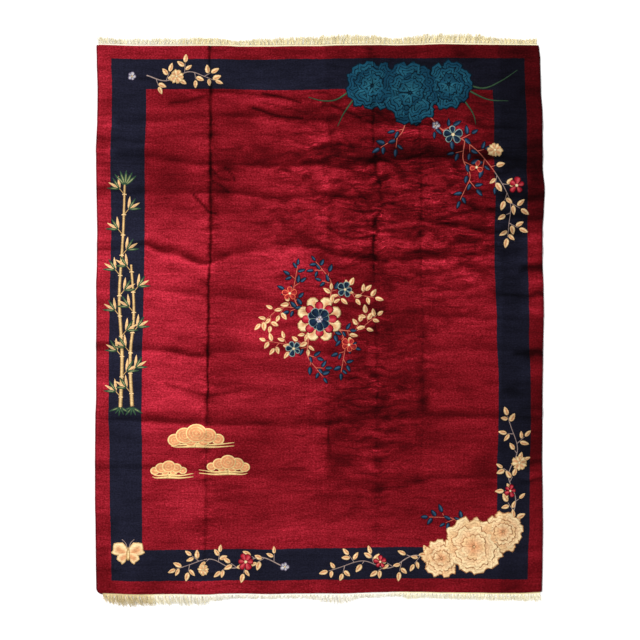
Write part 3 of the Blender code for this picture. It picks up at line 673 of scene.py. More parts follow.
class Strand:
    """One strand of a material: a node socket whose arithmetic adds Math nodes."""

    def __init__(self, tree, socket=None):
        self.tree = tree
        self.socket = socket

    def node(self, kind, settings=None, inputs=None, output=0):
        """Adds a node with its settings and then its inputs, and returns one of its outputs."""
        made = self.tree.nodes.new(kind)
        for name, value in (settings or {}).items():
            setattr(made, name, value)
        for name, value in (inputs or {}).items():
            if isinstance(value, Strand):
                self.tree.links.new(value.socket, made.inputs[name])
            else:
                made.inputs[name].default_value = value
        return Strand(self.tree, made.outputs[output])

    def fact(self, name, output=2):
        """What the mesh stores under a name: output 2 reads it as a number, output 0 as a colour."""
        return self.node("ShaderNodeAttribute", {"attribute_name": name}, None, output)

    def place(self):
        """Coordinates that stay with the piece: the Object output, which is the fourth."""
        return self.node("ShaderNodeTexCoord", None, None, 3)

    def math(self, operation, *values, clamp=False):
        settings = {"operation": operation, "use_clamp": clamp}
        return self.node("ShaderNodeMath", settings, dict(enumerate(values)))

    def __add__(self, other):
        return self.math("ADD", self, other)

    def __radd__(self, other):
        return self.math("ADD", other, self)

    def __sub__(self, other):
        return self.math("SUBTRACT", self, other)

    def __rsub__(self, other):
        return self.math("SUBTRACT", other, self)

    def __mul__(self, other):
        return self.math("MULTIPLY", self, other)

    def __rmul__(self, other):
        return self.math("MULTIPLY", other, self)

    def __pow__(self, other):
        return self.math("POWER", self, other)

    def size(self):
        """The strand without its sign."""
        return self.math("ABSOLUTE", self)

    def least(self, other):
        return self.math("MINIMUM", self, other)

    def above(self, edge, blend):
        """0 below an edge and 1 above it, passing over in a short blend."""
        return self.math("MULTIPLY", self - (edge - blend / 2), 1 / blend, clamp=True)

    def dyed(self, low, high):
        """The colour low where the strand is 0 and high where it is 1."""
        settings = {"data_type": "RGBA", "clamp_factor": True}
        return self.node("ShaderNodeMix", settings, {0: self, 6: low, 7: high}, 2)

    def scaled(self, share):
        """A colour made lighter or darker by a number."""
        return self.node("ShaderNodeVectorMath", {"operation": "SCALE"}, {0: self, "Scale": share})

    def stretched(self, x, y, z=1.0):
        """Coordinates with another scale along each axis, for long or short patches."""
        return self.node("ShaderNodeVectorMath", {"operation": "MULTIPLY"}, {0: self, 1: (x, y, z)})

    def noise(self, scale, detail=2.0, roughness=0.5):
        """Fractal noise from 0 to 1 on the strand's coordinates."""
        return self.node(
            "ShaderNodeTexNoise", {"noise_dimensions": "3D"},
            {"Vector": self, "Scale": scale, "Detail": detail, "Roughness": roughness},
        )

    def bent(self, scale, reach):
        """Coordinates pushed about by noise, so that what reads them is bent."""
        push = self.node("ShaderNodeTexNoise", None, {"Vector": self, "Scale": scale, "Detail": 1.0}, 1)
        settings = {"operation": "MULTIPLY_ADD"}
        return self.node("ShaderNodeVectorMath", settings, {0: push, 1: (reach,) * 3, 2: self})

    def varied(self, scale, amount, detail=2.0, roughness=0.5):
        """Noise about 1, so that it can multiply a tone."""
        return (self.noise(scale, detail, roughness) - 0.5) * (2 * amount) + 1.0


FIBRE_SPECULAR = 0.03
SHEEN_ROUGHNESS = 0.45


def fibre(name, roughness, sheen, sheen_tint):
    """A material for wool or cotton, and the first strand in its tree. Its lasting values are set here."""
    material = bpy.data.materials.new(name)
    material.use_nodes = True
    shader = material.node_tree.nodes["Principled BSDF"]
    shader.inputs["Roughness"].default_value = roughness
    shader.inputs["Specular IOR Level"].default_value = FIBRE_SPECULAR
    shader.inputs["Sheen Weight"].default_value = sheen
    shader.inputs["Sheen Roughness"].default_value = SHEEN_ROUGHNESS
    shader.inputs["Sheen Tint"].default_value = (*sheen_tint, 1.0)
    return material, shader, Strand(material.node_tree)


def finished(material, shader, colour, bump_height, bump_depth, bump_strength):
    """Joins a colour and a bump to a fibre's shader."""
    tree = material.node_tree
    tree.links.new(colour.socket, shader.inputs["Base Color"])
    settings = {"Height": bump_height, "Distance": bump_depth, "Strength": bump_strength}
    bump = colour.node("ShaderNodeBump", None, settings)
    tree.links.new(bump.socket, shader.inputs["Normal"])
    return material


CRIMSON = (0.234, 0.0034, 0.0080, 1.0)
GUARD_CRIMSON = (0.234, 0.0039, 0.0083, 1.0)
HIGHLIGHT_CRIMSON = (0.296, 0.0118, 0.0245, 1.0)  # painted highlight, where the painted light is strongest
FROSTED_CRIMSON = (0.300, 0.0270, 0.0420, 1.0)  # the palest tips of the tufts
NAVY = (0.0112, 0.0115, 0.0235, 1.0)
EDGE_BLEND = 0.0015
EDGE_WANDER = 0.006  # how far the edges of the bands wander
KNOT_STEPS = 0.004  # and how far they step from knot to knot
NAVY_CONTRAST = 0.75  # the navy wool shows the painted light and shade less than the crimson


def pile_material():
    """Cut wool pile: bands by the drawn plan, painted light and shade with a painted highlight, weft streaks,
    tufts and a stepped knot edge.
    """
    material, shader, start = fibre("pile_wool", 0.85, 0.03, (1.0, 0.35, 0.42))
    plan = start.node("ShaderNodeUVMap", {"uv_map": "drawn_plan"})
    across = start.node("ShaderNodeSeparateXYZ", None, {0: plan}, 0).size()
    along = start.node("ShaderNodeSeparateXYZ", None, {0: plan}, 1).size()
    inside = (HALF_WIDTH - across).least(HALF_LENGTH - along)
    inside = inside + (plan.noise(scale=38.0) - 0.5) * EDGE_WANDER
    inside = inside + (plan.noise(scale=320.0, detail=1.0) - 0.5) * KNOT_STEPS
    # The tone attribute holds the painted light and shade of the pile
    tone = start.fact("tone")
    crumple = start.fact("crumple")

    wefts = plan.stretched(x=4.5, y=90.0).varied(1.0, amount=0.42, detail=4.0, roughness=0.7)
    knots = plan.stretched(x=90.0, y=160.0).varied(1.0, amount=0.80, detail=2.0, roughness=0.7)
    warps = plan.stretched(x=130.0, y=7.0).varied(1.0, amount=0.18)
    tufts = plan.varied(scale=110.0, amount=0.85, detail=3.0, roughness=0.8)
    grain = wefts * knots * warps * tufts
    bent = plan.bent(scale=9.0, reach=0.06)
    # Painted shade in dents of the crumpled pile, and painted highlights along its creases
    dent_shade = bent.stretched(x=13.0, y=36.0).noise(1.0, 4.0, 0.6).above(0.56, blend=0.08) * crumple
    wisps = bent.stretched(x=4.0, y=50.0).noise(1.0, 3.0, 0.6).above(0.57, blend=0.07)
    wisps = wisps * (crumple * 0.36 + 0.10)
    off_highlight = (bent.stretched(x=6.0, y=30.0).noise(1.0) - 0.5).size()
    here_and_there = plan.stretched(x=5.0, y=7.0).noise(1.0).above(0.50, blend=0.10)
    crease_highlights = (1 - off_highlight.above(0.010, blend=0.010)) * crumple * here_and_there
    nap_shading = tone * (1 - dent_shade * 0.50) * (1 - wisps) * (crease_highlights + 1)

    red = inside.above(BORDER_REACH, EDGE_BLEND).dyed(GUARD_CRIMSON, CRIMSON)
    # Painted highlight: where the painted light is strongest the crimson turns paler
    light = nap_shading * grain
    red = light.above(1.00, blend=1.2).dyed(red, HIGHLIGHT_CRIMSON)
    frosted = (knots * tufts).above(1.25, blend=0.9) * 0.38
    red = frosted.dyed(red, FROSTED_CRIMSON).scaled(light)
    navy = tone.node(
        "ShaderNodeVectorMath", {"operation": "SCALE"}, {0: NAVY[:3], "Scale": nap_shading ** NAVY_CONTRAST * grain},
    )
    in_border = inside.above(GUARD_WIDTH, EDGE_BLEND) * (1 - inside.above(BORDER_REACH, EDGE_BLEND))
    colour = in_border.dyed(red, navy)

    height = plan.noise(scale=330.0, detail=1.0) + plan.stretched(x=26.0, y=250.0).noise(1.0) * 0.8
    return finished(material, shader, colour, height, bump_depth=0.0012, bump_strength=0.35)


s, t = cloth_places(1, 1)
rug, top_s, top_t = grid_layer(s, t, lift_at(s, t) + pile_at(s, t))
rug.name = "rug"
s, t = cloth_places(UNDER_ACROSS, UNDER_ALONG)
underside, under_s, under_t = grid_layer(s, t, lift_at(s, t))
bpy.ops.object.mode_set(mode="EDIT")
bpy.ops.mesh.select_all(action="SELECT")
bpy.ops.mesh.flip_normals()
deselect()
underside.select_set(True)
rug.select_set(True)
bpy.context.view_layer.objects.active = rug
bpy.ops.object.join()
bpy.ops.object.mode_set(mode="EDIT")
bpy.ops.mesh.select_mode(type="EDGE")
bpy.ops.mesh.select_all(action="DESELECT")
bpy.ops.mesh.select_non_manifold(extend=False)
bpy.ops.mesh.bridge_edge_loops()
faces_out()
bpy.ops.object.mode_set(mode="OBJECT")
bpy.ops.object.shade_smooth_by_angle(angle=CLOTH_CREASE)

cloth_s, cloth_t = np.append(top_s, under_s), np.append(top_t, under_t)
# The tone attribute: painted light and shade of the folds, panels and patches
measured(rug.data, "tone", painted_light_at(cloth_s, cloth_t))
measured(rug.data, "crumple", crumple_at(cloth_s, cloth_t))
mapped(rug.data, "drawn_plan", *drawn_at(cloth_s, cloth_t))
rug.data.materials.clear()
rug.data.materials.append(pile_material())
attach(rug, "root")
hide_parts("rug_pile")


# ----------------------------------------
# The selvedges. The outermost warps of each long side are wrapped all the way with deep crimson wool,
# which makes a cord about as thick as a pencil. The left one follows the worn corner.
# ----------------------------------------

GAP = 0.0003  # between neighbouring pieces
CORD_RADIUS = 0.0038
CORD_UNEVENNESS = rows(Patches, (0.05, 0.03, 0.03, 51))
WRAP_PITCH = 0.0052  # from one turn of the wrapping to the next
WRAP_DEPTH = 0.0006
CORD_STEP = 0.0018  # between the cord's rings of points
CORD_SIDES = 8
TUBE_CREASE = math.radians(60)
SEAM = 0.00001  # the two edges of a rolled grid meet within this
RIM_POINTS = 1200
CORNER_POINTS = 24
CORD_CRIMSON = (0.230, 0.0130, 0.0200, 1.0)
# painted shade between the turns of the wrapping
SHADED_CORD_CRIMSON = (0.110, 0.0070, 0.0100, 1.0)


def even_path(s, t, step):
    """A line on the cloth's rim at even steps: places on the floor, their lifts and outward directions."""
    x, y = plan_at(s, t)
    lift = lift_at(s, t)
    run = np.append(0.0, np.cumsum(np.hypot(np.diff(x), np.diff(y))))
    at = np.linspace(0.0, run[-1], max(2, round(run[-1] / step)) + 1)
    x, y, lift = np.interp(at, run, x), np.interp(at, run, y), np.interp(at, run, lift)
    along_x, along_y = np.gradient(x), np.gradient(y)
    length = np.hypot(along_x, along_y)
    return x, y, lift, along_y / length, -along_x / length, at


def rolled_tube(name, centres, sideways, upward, radius):
    """A grid primitive rolled into a closed tube. Radius holds one row for each ring of points."""
    rings, sides = radius.shape
    tube, side, ring = plain_grid(sides + 1, rings)
    tube.name = name
    side = side % sides
    turn = 2 * np.pi * side / sides
    reach = radius[ring, side][:, None]
    out = sideways[ring] * np.cos(turn)[:, None] + upward[ring] * np.sin(turn)[:, None]
    tube.data.vertices.foreach_set("co", (centres[ring] + out * reach).ravel())
    bpy.ops.object.mode_set(mode="EDIT")
    bpy.ops.mesh.select_all(action="SELECT")
    bpy.ops.mesh.remove_doubles(threshold=SEAM)
    bpy.ops.mesh.fill_holes(sides=sides)
    faces_out()
    bpy.ops.object.mode_set(mode="OBJECT")
    bpy.ops.object.shade_smooth_by_angle(angle=TUBE_CREASE)
    return tube


def binding_material():
    """Wool wound round the side warps, with painted shade between its turns and the pile's painted light and
    shade.
    """
    material, shader, start = fibre("binding_wool", 0.80, 0.05, (1.0, 0.40, 0.45))
    place = start.place()
    tone = start.fact("tone") * place.varied(scale=45.0, amount=0.35, detail=3.0)
    colour = start.fact("wound").dyed(SHADED_CORD_CRIMSON, CORD_CRIMSON).scaled(tone)
    height = place.noise(scale=900.0, detail=1.0)
    return finished(material, shader, colour, height, bump_depth=0.0006, bump_strength=0.5)


def selvedge(name, s, t, material):
    """A wrapped cord just outside the rim, from the places on the rim with the cloth on their left."""
    x, y, lift, out_x, out_y, at = even_path(s, t, CORD_STEP)
    thickness = 1.0 + mottle(x, y, CORD_UNEVENNESS)
    reach = CORD_RADIUS + GAP
    centres = np.stack([x + out_x * reach, y + out_y * reach, lift + CORD_RADIUS * thickness], axis=1)
    sideways = np.stack([out_x, out_y, np.zeros(len(x))], axis=1)
    upward = np.tile([0.0, 0.0, 1.0], (len(x), 1))
    side = np.arange(CORD_SIDES)[None, :] / CORD_SIDES
    wound = np.abs(np.sin(np.pi * (at[:, None] / WRAP_PITCH + side)))
    radius = (CORD_RADIUS - WRAP_DEPTH * (1.0 - wound)) * thickness[:, None]
    cord = rolled_tube(name, centres, sideways, upward, radius)

    place = points_of(cord)
    onward = np.sign(y[-1] - y[0])
    nearest = np.clip(np.searchsorted(onward * y, onward * place[:, 1]), 0, len(y) - 1)
    off = place - centres[nearest]
    turn = np.arctan2(off[:, 2], off[:, 0] * out_x[nearest] + off[:, 1] * out_y[nearest]) / (2 * np.pi)
    measured(cord.data, "wound", np.abs(np.sin(np.pi * (at[nearest] / WRAP_PITCH + turn))))
    # painted light and shade of the pile, carried onto the cord
    measured(cord.data, "tone", painted_light_at(place[:, 0], place[:, 1]))
    cord.data.materials.append(material)
    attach(cord, "root")
    return cord


binding_wool = binding_material()
rim_t = np.linspace(-HALF_LENGTH, HALF_LENGTH, RIM_POINTS)
corner_s = np.linspace(-HALF_WIDTH, WORN_CORNER - HALF_WIDTH, CORNER_POINTS)[1:]
left_s = np.append(np.full(RIM_POINTS, -HALF_WIDTH), corner_s)
left_t = np.append(rim_t[::-1], np.full(len(corner_s), -HALF_LENGTH))
left_cord = selvedge("left_selvedge_cord", left_s, left_t, binding_wool)
right_cord = selvedge("right_selvedge_cord", np.full(RIM_POINTS, HALF_WIDTH), rim_t, binding_wool)
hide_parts("selvedge_left")
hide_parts("selvedge_right")


# ----------------------------------------
# The fringes. At each end the bare cotton warps are woven into a narrow flat web and then knotted
# together in small locks, whose loose ends lie on the floor. Those at the foot on the left are soiled.
# ----------------------------------------

WEB_WIDTH = 0.010
WEB_THICKNESS = 0.003
WEB_STEP = 0.003
WEB_SIDES = 10
SQUARENESS = 4  # the web's section is an ellipse of this power, so that it lies flat
WEB_RIBS = rows(Patches, (0.05, 0.004, NO_CHANGE, 0))
WEB_TINTS = rows(Patches, (0.05, 0.006, NO_CHANGE, 1))
WEB_SHADE = 0.95
WEB_SOIL = 0.9  # how much of its soil shows in a web
LOCK_PITCH = 0.0205
LOCK_REACHES = (0.90, 1.10)  # how much the locks differ in length
LOCK_SWAY = 0.003
KNOT_OUT = 0.006  # from the web to the middle of a lock's knot
KNOT_SIZE = 0.0030
KNOT_SIZES = (0.85, 1.15)
KNOT_FLATNESS = 0.9
KNOT_WIDTH = 1.5  # a knot is so much wider than it is long
KNOT_SHADES = (0.80, 1.0)
KNOT_SOIL = 0.08
THREADS_IN_LOCK = 25
THREAD_RADIUS = 0.00085
THREAD_SIDES = 4
THREAD_STATIONS = 7
THREAD_REACHES = (0.62, 1.14)
THREAD_SIZES = (0.8, 1.15)
THREAD_TAPER = 0.45
THREAD_ROOT = 0.002  # a thread starts so far inside the web
THREAD_RISE = 0.0008  # and so much higher than its tip
ROOT_SPREAD = 0.95  # a lock's width at the web, as a share of its pitch
ROOT_SHIFTS = (-0.03, 0.03)
GATHERED = 0.74  # its width at its knot
TIP_SPREAD = 1.1  # and at its tips, which stray besides
TIP_STRAY = 0.38
WAVE_REACH = 0.0030
WAVES = (2.0, 7.0)  # radians of waving along a thread
LAYERS = (0.0, 0.0042)  # threads lie over each other up to so high, most in their middle
LAYER_AT_ROOT = 0.4
ARCH_BEND = 0.8
TIPWARD = 1.5  # lean and soil grow by this power towards the tips
SOIL_VARIES = 0.20
TIP_SOIL = (0.0, 0.55)  # tips are more soiled, most where the whole fringe is
CLEAN_TIPS = 0.25  # what they take of it where the fringe is clean
SHADES = (0.82, 1.14)
DARK_THREADS = 0.14  # the share of threads that are darker, by so much
DARK_THREAD = 0.62

# How far each fringe reaches beyond the pile, and how far its tips lean to +X
Fringe = namedtuple("Fringe", "x foot_mm head_mm foot_lean_mm head_lean_mm")
FRINGE = rows(
    Fringe,
    (-1.225, 44, 44, 16, -6), (-1.1, 64, 39, 22, -3), (-0.88, 60, 41, 20, 4), (-0.66, 58, 46, 16, 5),
    (-0.57, 38, 42, 6, -4), (-0.43, 30, 35, 0, -7), (-0.33, 29, 44, -5, -8), (-0.1, 31, 51, 4, 3),
    (0.1, 56, 60, 9, 8), (0.24, 33, 57, 3, 5), (0.43, 28, 40, -7, -5), (0.51, 42, 50, 0, 2),
    (0.62, 37, 58, 5, 7), (0.85, 42, 58, 8, 9), (0.99, 43, 39, 3, -3), (1.1, 44, 33, -3, -6),
    (1.225, 54, 40, 7, 2),
)

# How soiled the cotton is along each fringe, from 0, bleached, through cream to 1, khaki
Soil = namedtuple("Soil", "x foot head foot_web")
SOIL = rows(
    Soil,
    (-1.225, 1.02, 0.22, 1.1), (-0.98, 0.95, 0.2, 1.05), (-0.88, 0.22, 0.24, 0.45), (-0.62, 0.14, 0.48, 0.15),
    (-0.5, 0.0, 0.52, 0.0), (0.35, 0.0, 0.5, 0.0), (0.5, 0.2, 0.5, 0.55), (1.225, 0.26, 0.54, 1.0),
)
COTTON = (0.950, 0.840, 0.490, 1.0)
BLEACHED_COTTON = (0.985, 0.955, 0.870, 1.0)
SOILED_COTTON = (0.640, 0.500, 0.260, 1.0)


def cotton_material():
    """Undyed cotton: each thread has its own tint between bleached, cream and soiled."""
    material, shader, start = fibre("warp_cotton", 0.90, 0.15, (1.0, 0.95, 0.85))
    soil, place = start.fact("soil"), start.place()
    clean = soil.above(0.30, blend=0.6).dyed(BLEACHED_COTTON, COTTON)
    colour = soil.above(0.80, blend=0.5).dyed(clean, SOILED_COTTON)
    colour = colour.scaled(start.fact("shade") * place.varied(scale=120.0, amount=0.12))
    height = place.noise(scale=1500.0, detail=1.0)
    return finished(material, shader, colour, height, bump_depth=0.0003, bump_strength=0.4)


def taken_pattern():
    """Takes the active object away and keeps its points and faces, as a pattern for many copies."""
    if bpy.context.object.mode != "OBJECT":
        bpy.ops.object.mode_set(mode="OBJECT")
    made = bpy.context.object
    points = points_of(made)
    faces = [tuple(face.vertices) for face in made.data.polygons]
    bpy.data.objects.remove(made, do_unlink=True)
    return points, faces


def prism_pattern(sides, stations):
    """A prism extruded from station to station up Z: its points, the station of each, and its faces."""
    deselect()
    bpy.ops.mesh.primitive_circle_add(vertices=sides, radius=1.0, fill_type="NGON")
    bpy.ops.object.mode_set(mode="EDIT")
    for _ in range(stations - 1):
        bpy.ops.mesh.extrude_region_move(TRANSFORM_OT_translate={"value": (0.0, 0.0, 1.0)})
    faces_out()
    points, faces = taken_pattern()
    return points, np.rint(points[:, 2]).astype(int), faces


def knot_pattern():
    """A warp knot: a small ball, which is pressed flat where it is laid."""
    deselect()
    bpy.ops.mesh.primitive_uv_sphere_add(segments=8, ring_count=5, radius=1.0)
    return taken_pattern()


def joined(name, points, faces):
    """One mesh of all the points and faces, as a piece of its own."""
    mesh = bpy.data.meshes.new(name)
    mesh.from_pydata(points.tolist(), [], faces)
    made = bpy.data.objects.new(name, mesh)
    bpy.context.scene.collection.objects.link(made)
    return made


def joined_copies(name, faces, places):
    """One mesh of many copies of a pattern's faces. Places holds the points of each copy."""
    copies, points = places.shape[:2]
    all_faces = [tuple(point + copy * points for point in face) for copy in range(copies) for face in faces]
    return joined(name, places.reshape(-1, 3), all_faces)


def fringe(end, s, t, web_soil, seed, material):
    """A web, its knots and its loose ends, from places on the rim with the cloth on their left."""
    name = end + "_fringe"
    chance = np.random.default_rng(seed)
    x, y, _, out_x, out_y, at = even_path(s, t, WEB_STEP)
    out = np.array([out_x.mean(), out_y.mean(), 0.0])
    side = np.array([-out[1], out[0], 0.0])
    up = np.array([0.0, 0.0, 1.0])

    # the web, a flat tube with ribs
    turn = 2 * np.pi * np.arange(WEB_SIDES) / WEB_SIDES
    section = np.abs(np.cos(turn) / WEB_WIDTH * 2) ** SQUARENESS
    section = (section + np.abs(np.sin(turn) / WEB_THICKNESS * 2) ** SQUARENESS) ** (-1 / SQUARENESS)
    ribbed = 1.0 + mottle(at, at * 0, WEB_RIBS, seed)
    rim = np.stack([x, y, x * 0], axis=1)
    centres = rim + out * (GAP + WEB_WIDTH / 2) + up * WEB_THICKNESS / 2
    web = rolled_tube(
        name + "_web", centres, np.tile(out, (len(x), 1)), np.tile(up, (len(x), 1)),
        section[None, :] * ribbed[:, None],
    )
    web_x = points_of(web)[:, 0]
    measured(web.data, "soil", eased(SOIL, web_x, web_soil) * WEB_SOIL)
    measured(web.data, "shade", WEB_SHADE + mottle(web_x, web_x * 0, WEB_TINTS, seed))

    # the locks: where each starts, how far it reaches and how far it leans
    locks = round(at[-1] / LOCK_PITCH)
    lock_at = (np.arange(locks) + 0.5) / locks * at[-1]
    lock_x, lock_y = np.interp(lock_at, at, x), np.interp(lock_at, at, y)
    reach = eased(FRINGE, lock_x, end + "_mm") * MM - WEB_WIDTH - GAP
    reach *= chance.uniform(*LOCK_REACHES, locks)
    lean = eased(FRINGE, lock_x, end + "_lean_mm") * MM + chance.normal(0.0, LOCK_SWAY, locks)
    root = np.stack([lock_x, lock_y, lock_x * 0], axis=1) + out * (GAP + WEB_WIDTH)

    # every thread of every lock, at every station from its root to its tip
    which = np.repeat(np.arange(locks), THREADS_IN_LOCK)
    threads = len(which)
    share = np.tile((np.arange(THREADS_IN_LOCK) + 0.5) / THREADS_IN_LOCK - 0.5, locks)
    share = (share + chance.uniform(*ROOT_SHIFTS, threads))[:, None]
    length = (reach[which] * chance.uniform(*THREAD_REACHES, threads))[:, None]
    along = np.linspace(0.0, 1.0, THREAD_STATIONS)[None, :]
    knot = KNOT_OUT / length
    at_tip = share * TIP_SPREAD + chance.normal(0.0, TIP_STRAY, threads)[:, None]
    to_knot, to_tip = smooth(along / knot), smooth((along - knot) / (1.0 - knot))
    aside = share * (ROOT_SPREAD + (GATHERED - ROOT_SPREAD) * to_knot) * (1 - to_tip) + at_tip * to_tip
    wave = chance.uniform(0.0, 2 * np.pi, threads)[:, None] + along * chance.uniform(*WAVES, threads)[:, None]
    aside = aside * LOCK_PITCH + np.sin(wave) * along * WAVE_REACH
    layer = chance.uniform(*LAYERS, threads)[:, None]
    run = -THREAD_ROOT + (length + THREAD_ROOT) * along
    centre = root[which][:, None, :] + out * run[..., None] + side * aside[..., None]
    centre[..., 0] += lean[which][:, None] * along ** TIPWARD
    arched = LAYER_AT_ROOT + (1 - LAYER_AT_ROOT) * np.sin(np.pi * along ** ARCH_BEND)
    centre[..., 2] = THREAD_RADIUS + THREAD_RISE * (1 - along) + layer * arched

    points, station, faces = prism_pattern(THREAD_SIDES, THREAD_STATIONS)
    thickness = THREAD_RADIUS * (1.0 - THREAD_TAPER * along ** 2)
    thickness = thickness * chance.uniform(*THREAD_SIZES, threads)[:, None]
    section = points[:, :1] * side + points[:, 1:2] * up
    loose = joined_copies(name, faces, centre[:, station, :] + thickness[:, station, None] * section)
    around = eased(SOIL, root[which][:, 0], end)[:, None]
    soil = around + chance.normal(0.0, SOIL_VARIES, threads)[:, None]
    tip_soil = chance.uniform(*TIP_SOIL, threads)[:, None] * along[:, station] ** TIPWARD
    measured(loose.data, "soil", np.clip(soil + tip_soil * (CLEAN_TIPS + around), 0, 1).ravel())
    shade = chance.uniform(*SHADES, threads)
    shade *= np.where(chance.random(threads) < DARK_THREADS, DARK_THREAD, 1.0)
    measured(loose.data, "shade", np.repeat(shade, len(points)))

    points, faces = knot_pattern()
    size = KNOT_SIZE * chance.uniform(*KNOT_SIZES, locks)[:, None, None]
    middle = root + out * KNOT_OUT + up * KNOT_SIZE * KNOT_FLATNESS
    middle[:, 0] += lean * (KNOT_OUT / reach) ** TIPWARD
    knot = points[:, :1] * side * KNOT_WIDTH + points[:, 1:2] * out + points[:, 2:] * up * KNOT_FLATNESS
    knots = joined_copies(name + "_knots", faces, middle[:, None, :] + size * knot)
    soil = np.clip(eased(SOIL, lock_x, end) + KNOT_SOIL, 0, 1)
    measured(knots.data, "soil", np.repeat(soil, len(points)))
    measured(knots.data, "shade", np.repeat(chance.uniform(*KNOT_SHADES, locks), len(points)))
    for piece in (web, loose, knots):
        piece.data.shade_smooth()
        piece.data.materials.append(material)
        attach(piece, "root")
    return web, loose, knots


END_POINTS = 900
warp_cotton = cotton_material()
rim_s = np.linspace(-HALF_WIDTH, HALF_WIDTH, END_POINTS)
foot_s = rim_s[rim_s > WORN_CORNER - HALF_WIDTH]
foot_pieces = fringe("foot", foot_s, np.full(len(foot_s), -HALF_LENGTH), "foot_web", 61, warp_cotton)
head_pieces = fringe("head", rim_s[::-1], np.full(END_POINTS, HALF_LENGTH), "head", 62, warp_cotton)
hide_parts("fringe_foot")
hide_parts("fringe_head")


# ----------------------------------------
# The inlaid flowers and leaves. They are knotted in wool of other dyes as the cloth is made, and the
# pile is then clipped a little lower round each one, so that it stands just proud of the ground.
# ----------------------------------------

PROUD = 0.0009  # a shape's middle above the ground pile
RIM_PROUD = 0.0002
ROUNDED = 0.007  # a shape's surface rises over this distance from its rim
SUNK = 0.0015  # a small shape's sides reach this far down into the pile
DEEP_SUNK = 0.0060  # and a large one's, so that its level foot stays in the pile where a fold crosses it
DEEP_LENGTH = 0.100
TIER = 0.00035  # one shape above another that it overlaps
OUTLINE = 0.0042  # the width of the line round a shape
UPRIGHT = 90.0  # the heading of what points to the head of the rug

Dye = namedtuple("Dye", "edge body heart")
NAVY_LEAF = Dye((0.0045, 0.0060, 0.0140), (0.0095, 0.0210, 0.0480), (0.0360, 0.0900, 0.1600))
TAN_LEAF = Dye((0.740, 0.470, 0.220), (0.930, 0.680, 0.370), (0.650, 0.270, 0.110))
OUTLINED_NAVY = Dye((0.240, 0.340, 0.310), (0.0065, 0.0130, 0.0320), (0.0110, 0.0300, 0.0640))
OUTLINED_CORAL = Dye((0.780, 0.130, 0.070), (0.250, 0.0070, 0.0130), (0.420, 0.0300, 0.0300))
TAN_BLOSSOM = Dye((0.600, 0.380, 0.170), (0.930, 0.700, 0.380), (0.700, 0.330, 0.150))
RED_BLOSSOM = Dye((0.140, 0.0040, 0.0100), (0.430, 0.0110, 0.0300), (0.620, 0.0750, 0.0900))
LILAC_BLOSSOM = Dye((0.110, 0.090, 0.150), (0.400, 0.380, 0.430), (0.600, 0.560, 0.560))
TEAL_PETAL = Dye((0.0025, 0.0120, 0.0230), (0.0080, 0.0700, 0.1250), (0.0250, 0.1500, 0.2150))
DEEP_TEAL_PETAL = Dye((0.0020, 0.0090, 0.0180), (0.0055, 0.0450, 0.0880), (0.0140, 0.1000, 0.1600))
CREAM_PETAL = Dye((0.420, 0.190, 0.080), (0.970, 0.760, 0.430), (0.840, 0.400, 0.190))
SALMON_PETAL = Dye((0.420, 0.190, 0.080), (0.940, 0.660, 0.340), (0.760, 0.330, 0.150))
CLOUD = Dye((0.880, 0.620, 0.270), (0.740, 0.310, 0.135), (0.880, 0.620, 0.270))
CLOUD_TAIL = Dye((0.820, 0.550, 0.230), (0.880, 0.620, 0.270), (0.880, 0.620, 0.270))
GREEN_BLADE = Dye((0.0300, 0.0700, 0.0380), (0.0550, 0.1150, 0.0550), (0.330, 0.330, 0.150))
CANE = Dye((0.420, 0.250, 0.095), (0.720, 0.480, 0.210), (0.860, 0.640, 0.330))
CORAL_STEM = Dye((0.520, 0.100, 0.070), (0.640, 0.170, 0.110), (0.640, 0.170, 0.110))
LILAC_STEM = Dye((0.300, 0.210, 0.190), (0.420, 0.320, 0.270), (0.420, 0.320, 0.270))
DOT = Dye((0.500, 0.330, 0.150), (0.950, 0.780, 0.480), (0.950, 0.780, 0.480))
TEALS = (TEAL_PETAL, TEAL_PETAL, DEEP_TEAL_PETAL)
CREAMS = (CREAM_PETAL, CREAM_PETAL, SALMON_PETAL)


def straight_at(x, y):
    """Which place of the straight cloth lies at a place on the floor, found in three steps."""
    s, t = x, y
    for _ in range(3):
        drift_x, drift_y = drift_at(s, t)
        s, t = x - drift_x, y - drift_y
    return s, t


def over_border(x, y):
    """Whether the navy border is under a place."""
    across, along = drawn_at(*straight_at(np.array([x]), np.array([y])))
    inside = min(HALF_WIDTH - abs(across[0]), HALF_LENGTH - abs(along[0]))
    return GUARD_WIDTH < inside < BORDER_REACH


def stem_dye(x, y):
    """Stems are coral over the crimson ground and grey lilac over the navy border."""
    return LILAC_STEM if over_border(x, y) else CORAL_STEM


def leaf_dye(x, y):
    """Leaves are navy over the crimson ground and tan over the navy border."""
    return TAN_LEAF if over_border(x, y) else NAVY_LEAF


def pad_pattern(sides, rings):
    """A round pad: a disc drawn up into a low drum, then inset ring by ring and poked in the middle."""
    deselect()
    bpy.ops.mesh.primitive_circle_add(vertices=sides, radius=1.0, fill_type="NGON")
    bpy.ops.object.mode_set(mode="EDIT")
    bpy.ops.mesh.extrude_region_move(TRANSFORM_OT_translate={"value": (0.0, 0.0, 1.0)})
    for outer, inner in zip(rings, rings[1:]):
        bpy.ops.mesh.inset(thickness=outer - inner)
    bpy.ops.mesh.poke()
    faces_out()
    points, faces = taken_pattern()
    return np.hypot(points[:, 0], points[:, 1]), np.arctan2(points[:, 1], points[:, 0]), points[:, 2], faces


def round_outline(angle):
    """An outline runs from (0, 0) at the foot of the form to (0, 1) at its tip."""
    return 0.5 * np.cos(angle), 0.5 + 0.5 * np.sin(angle)


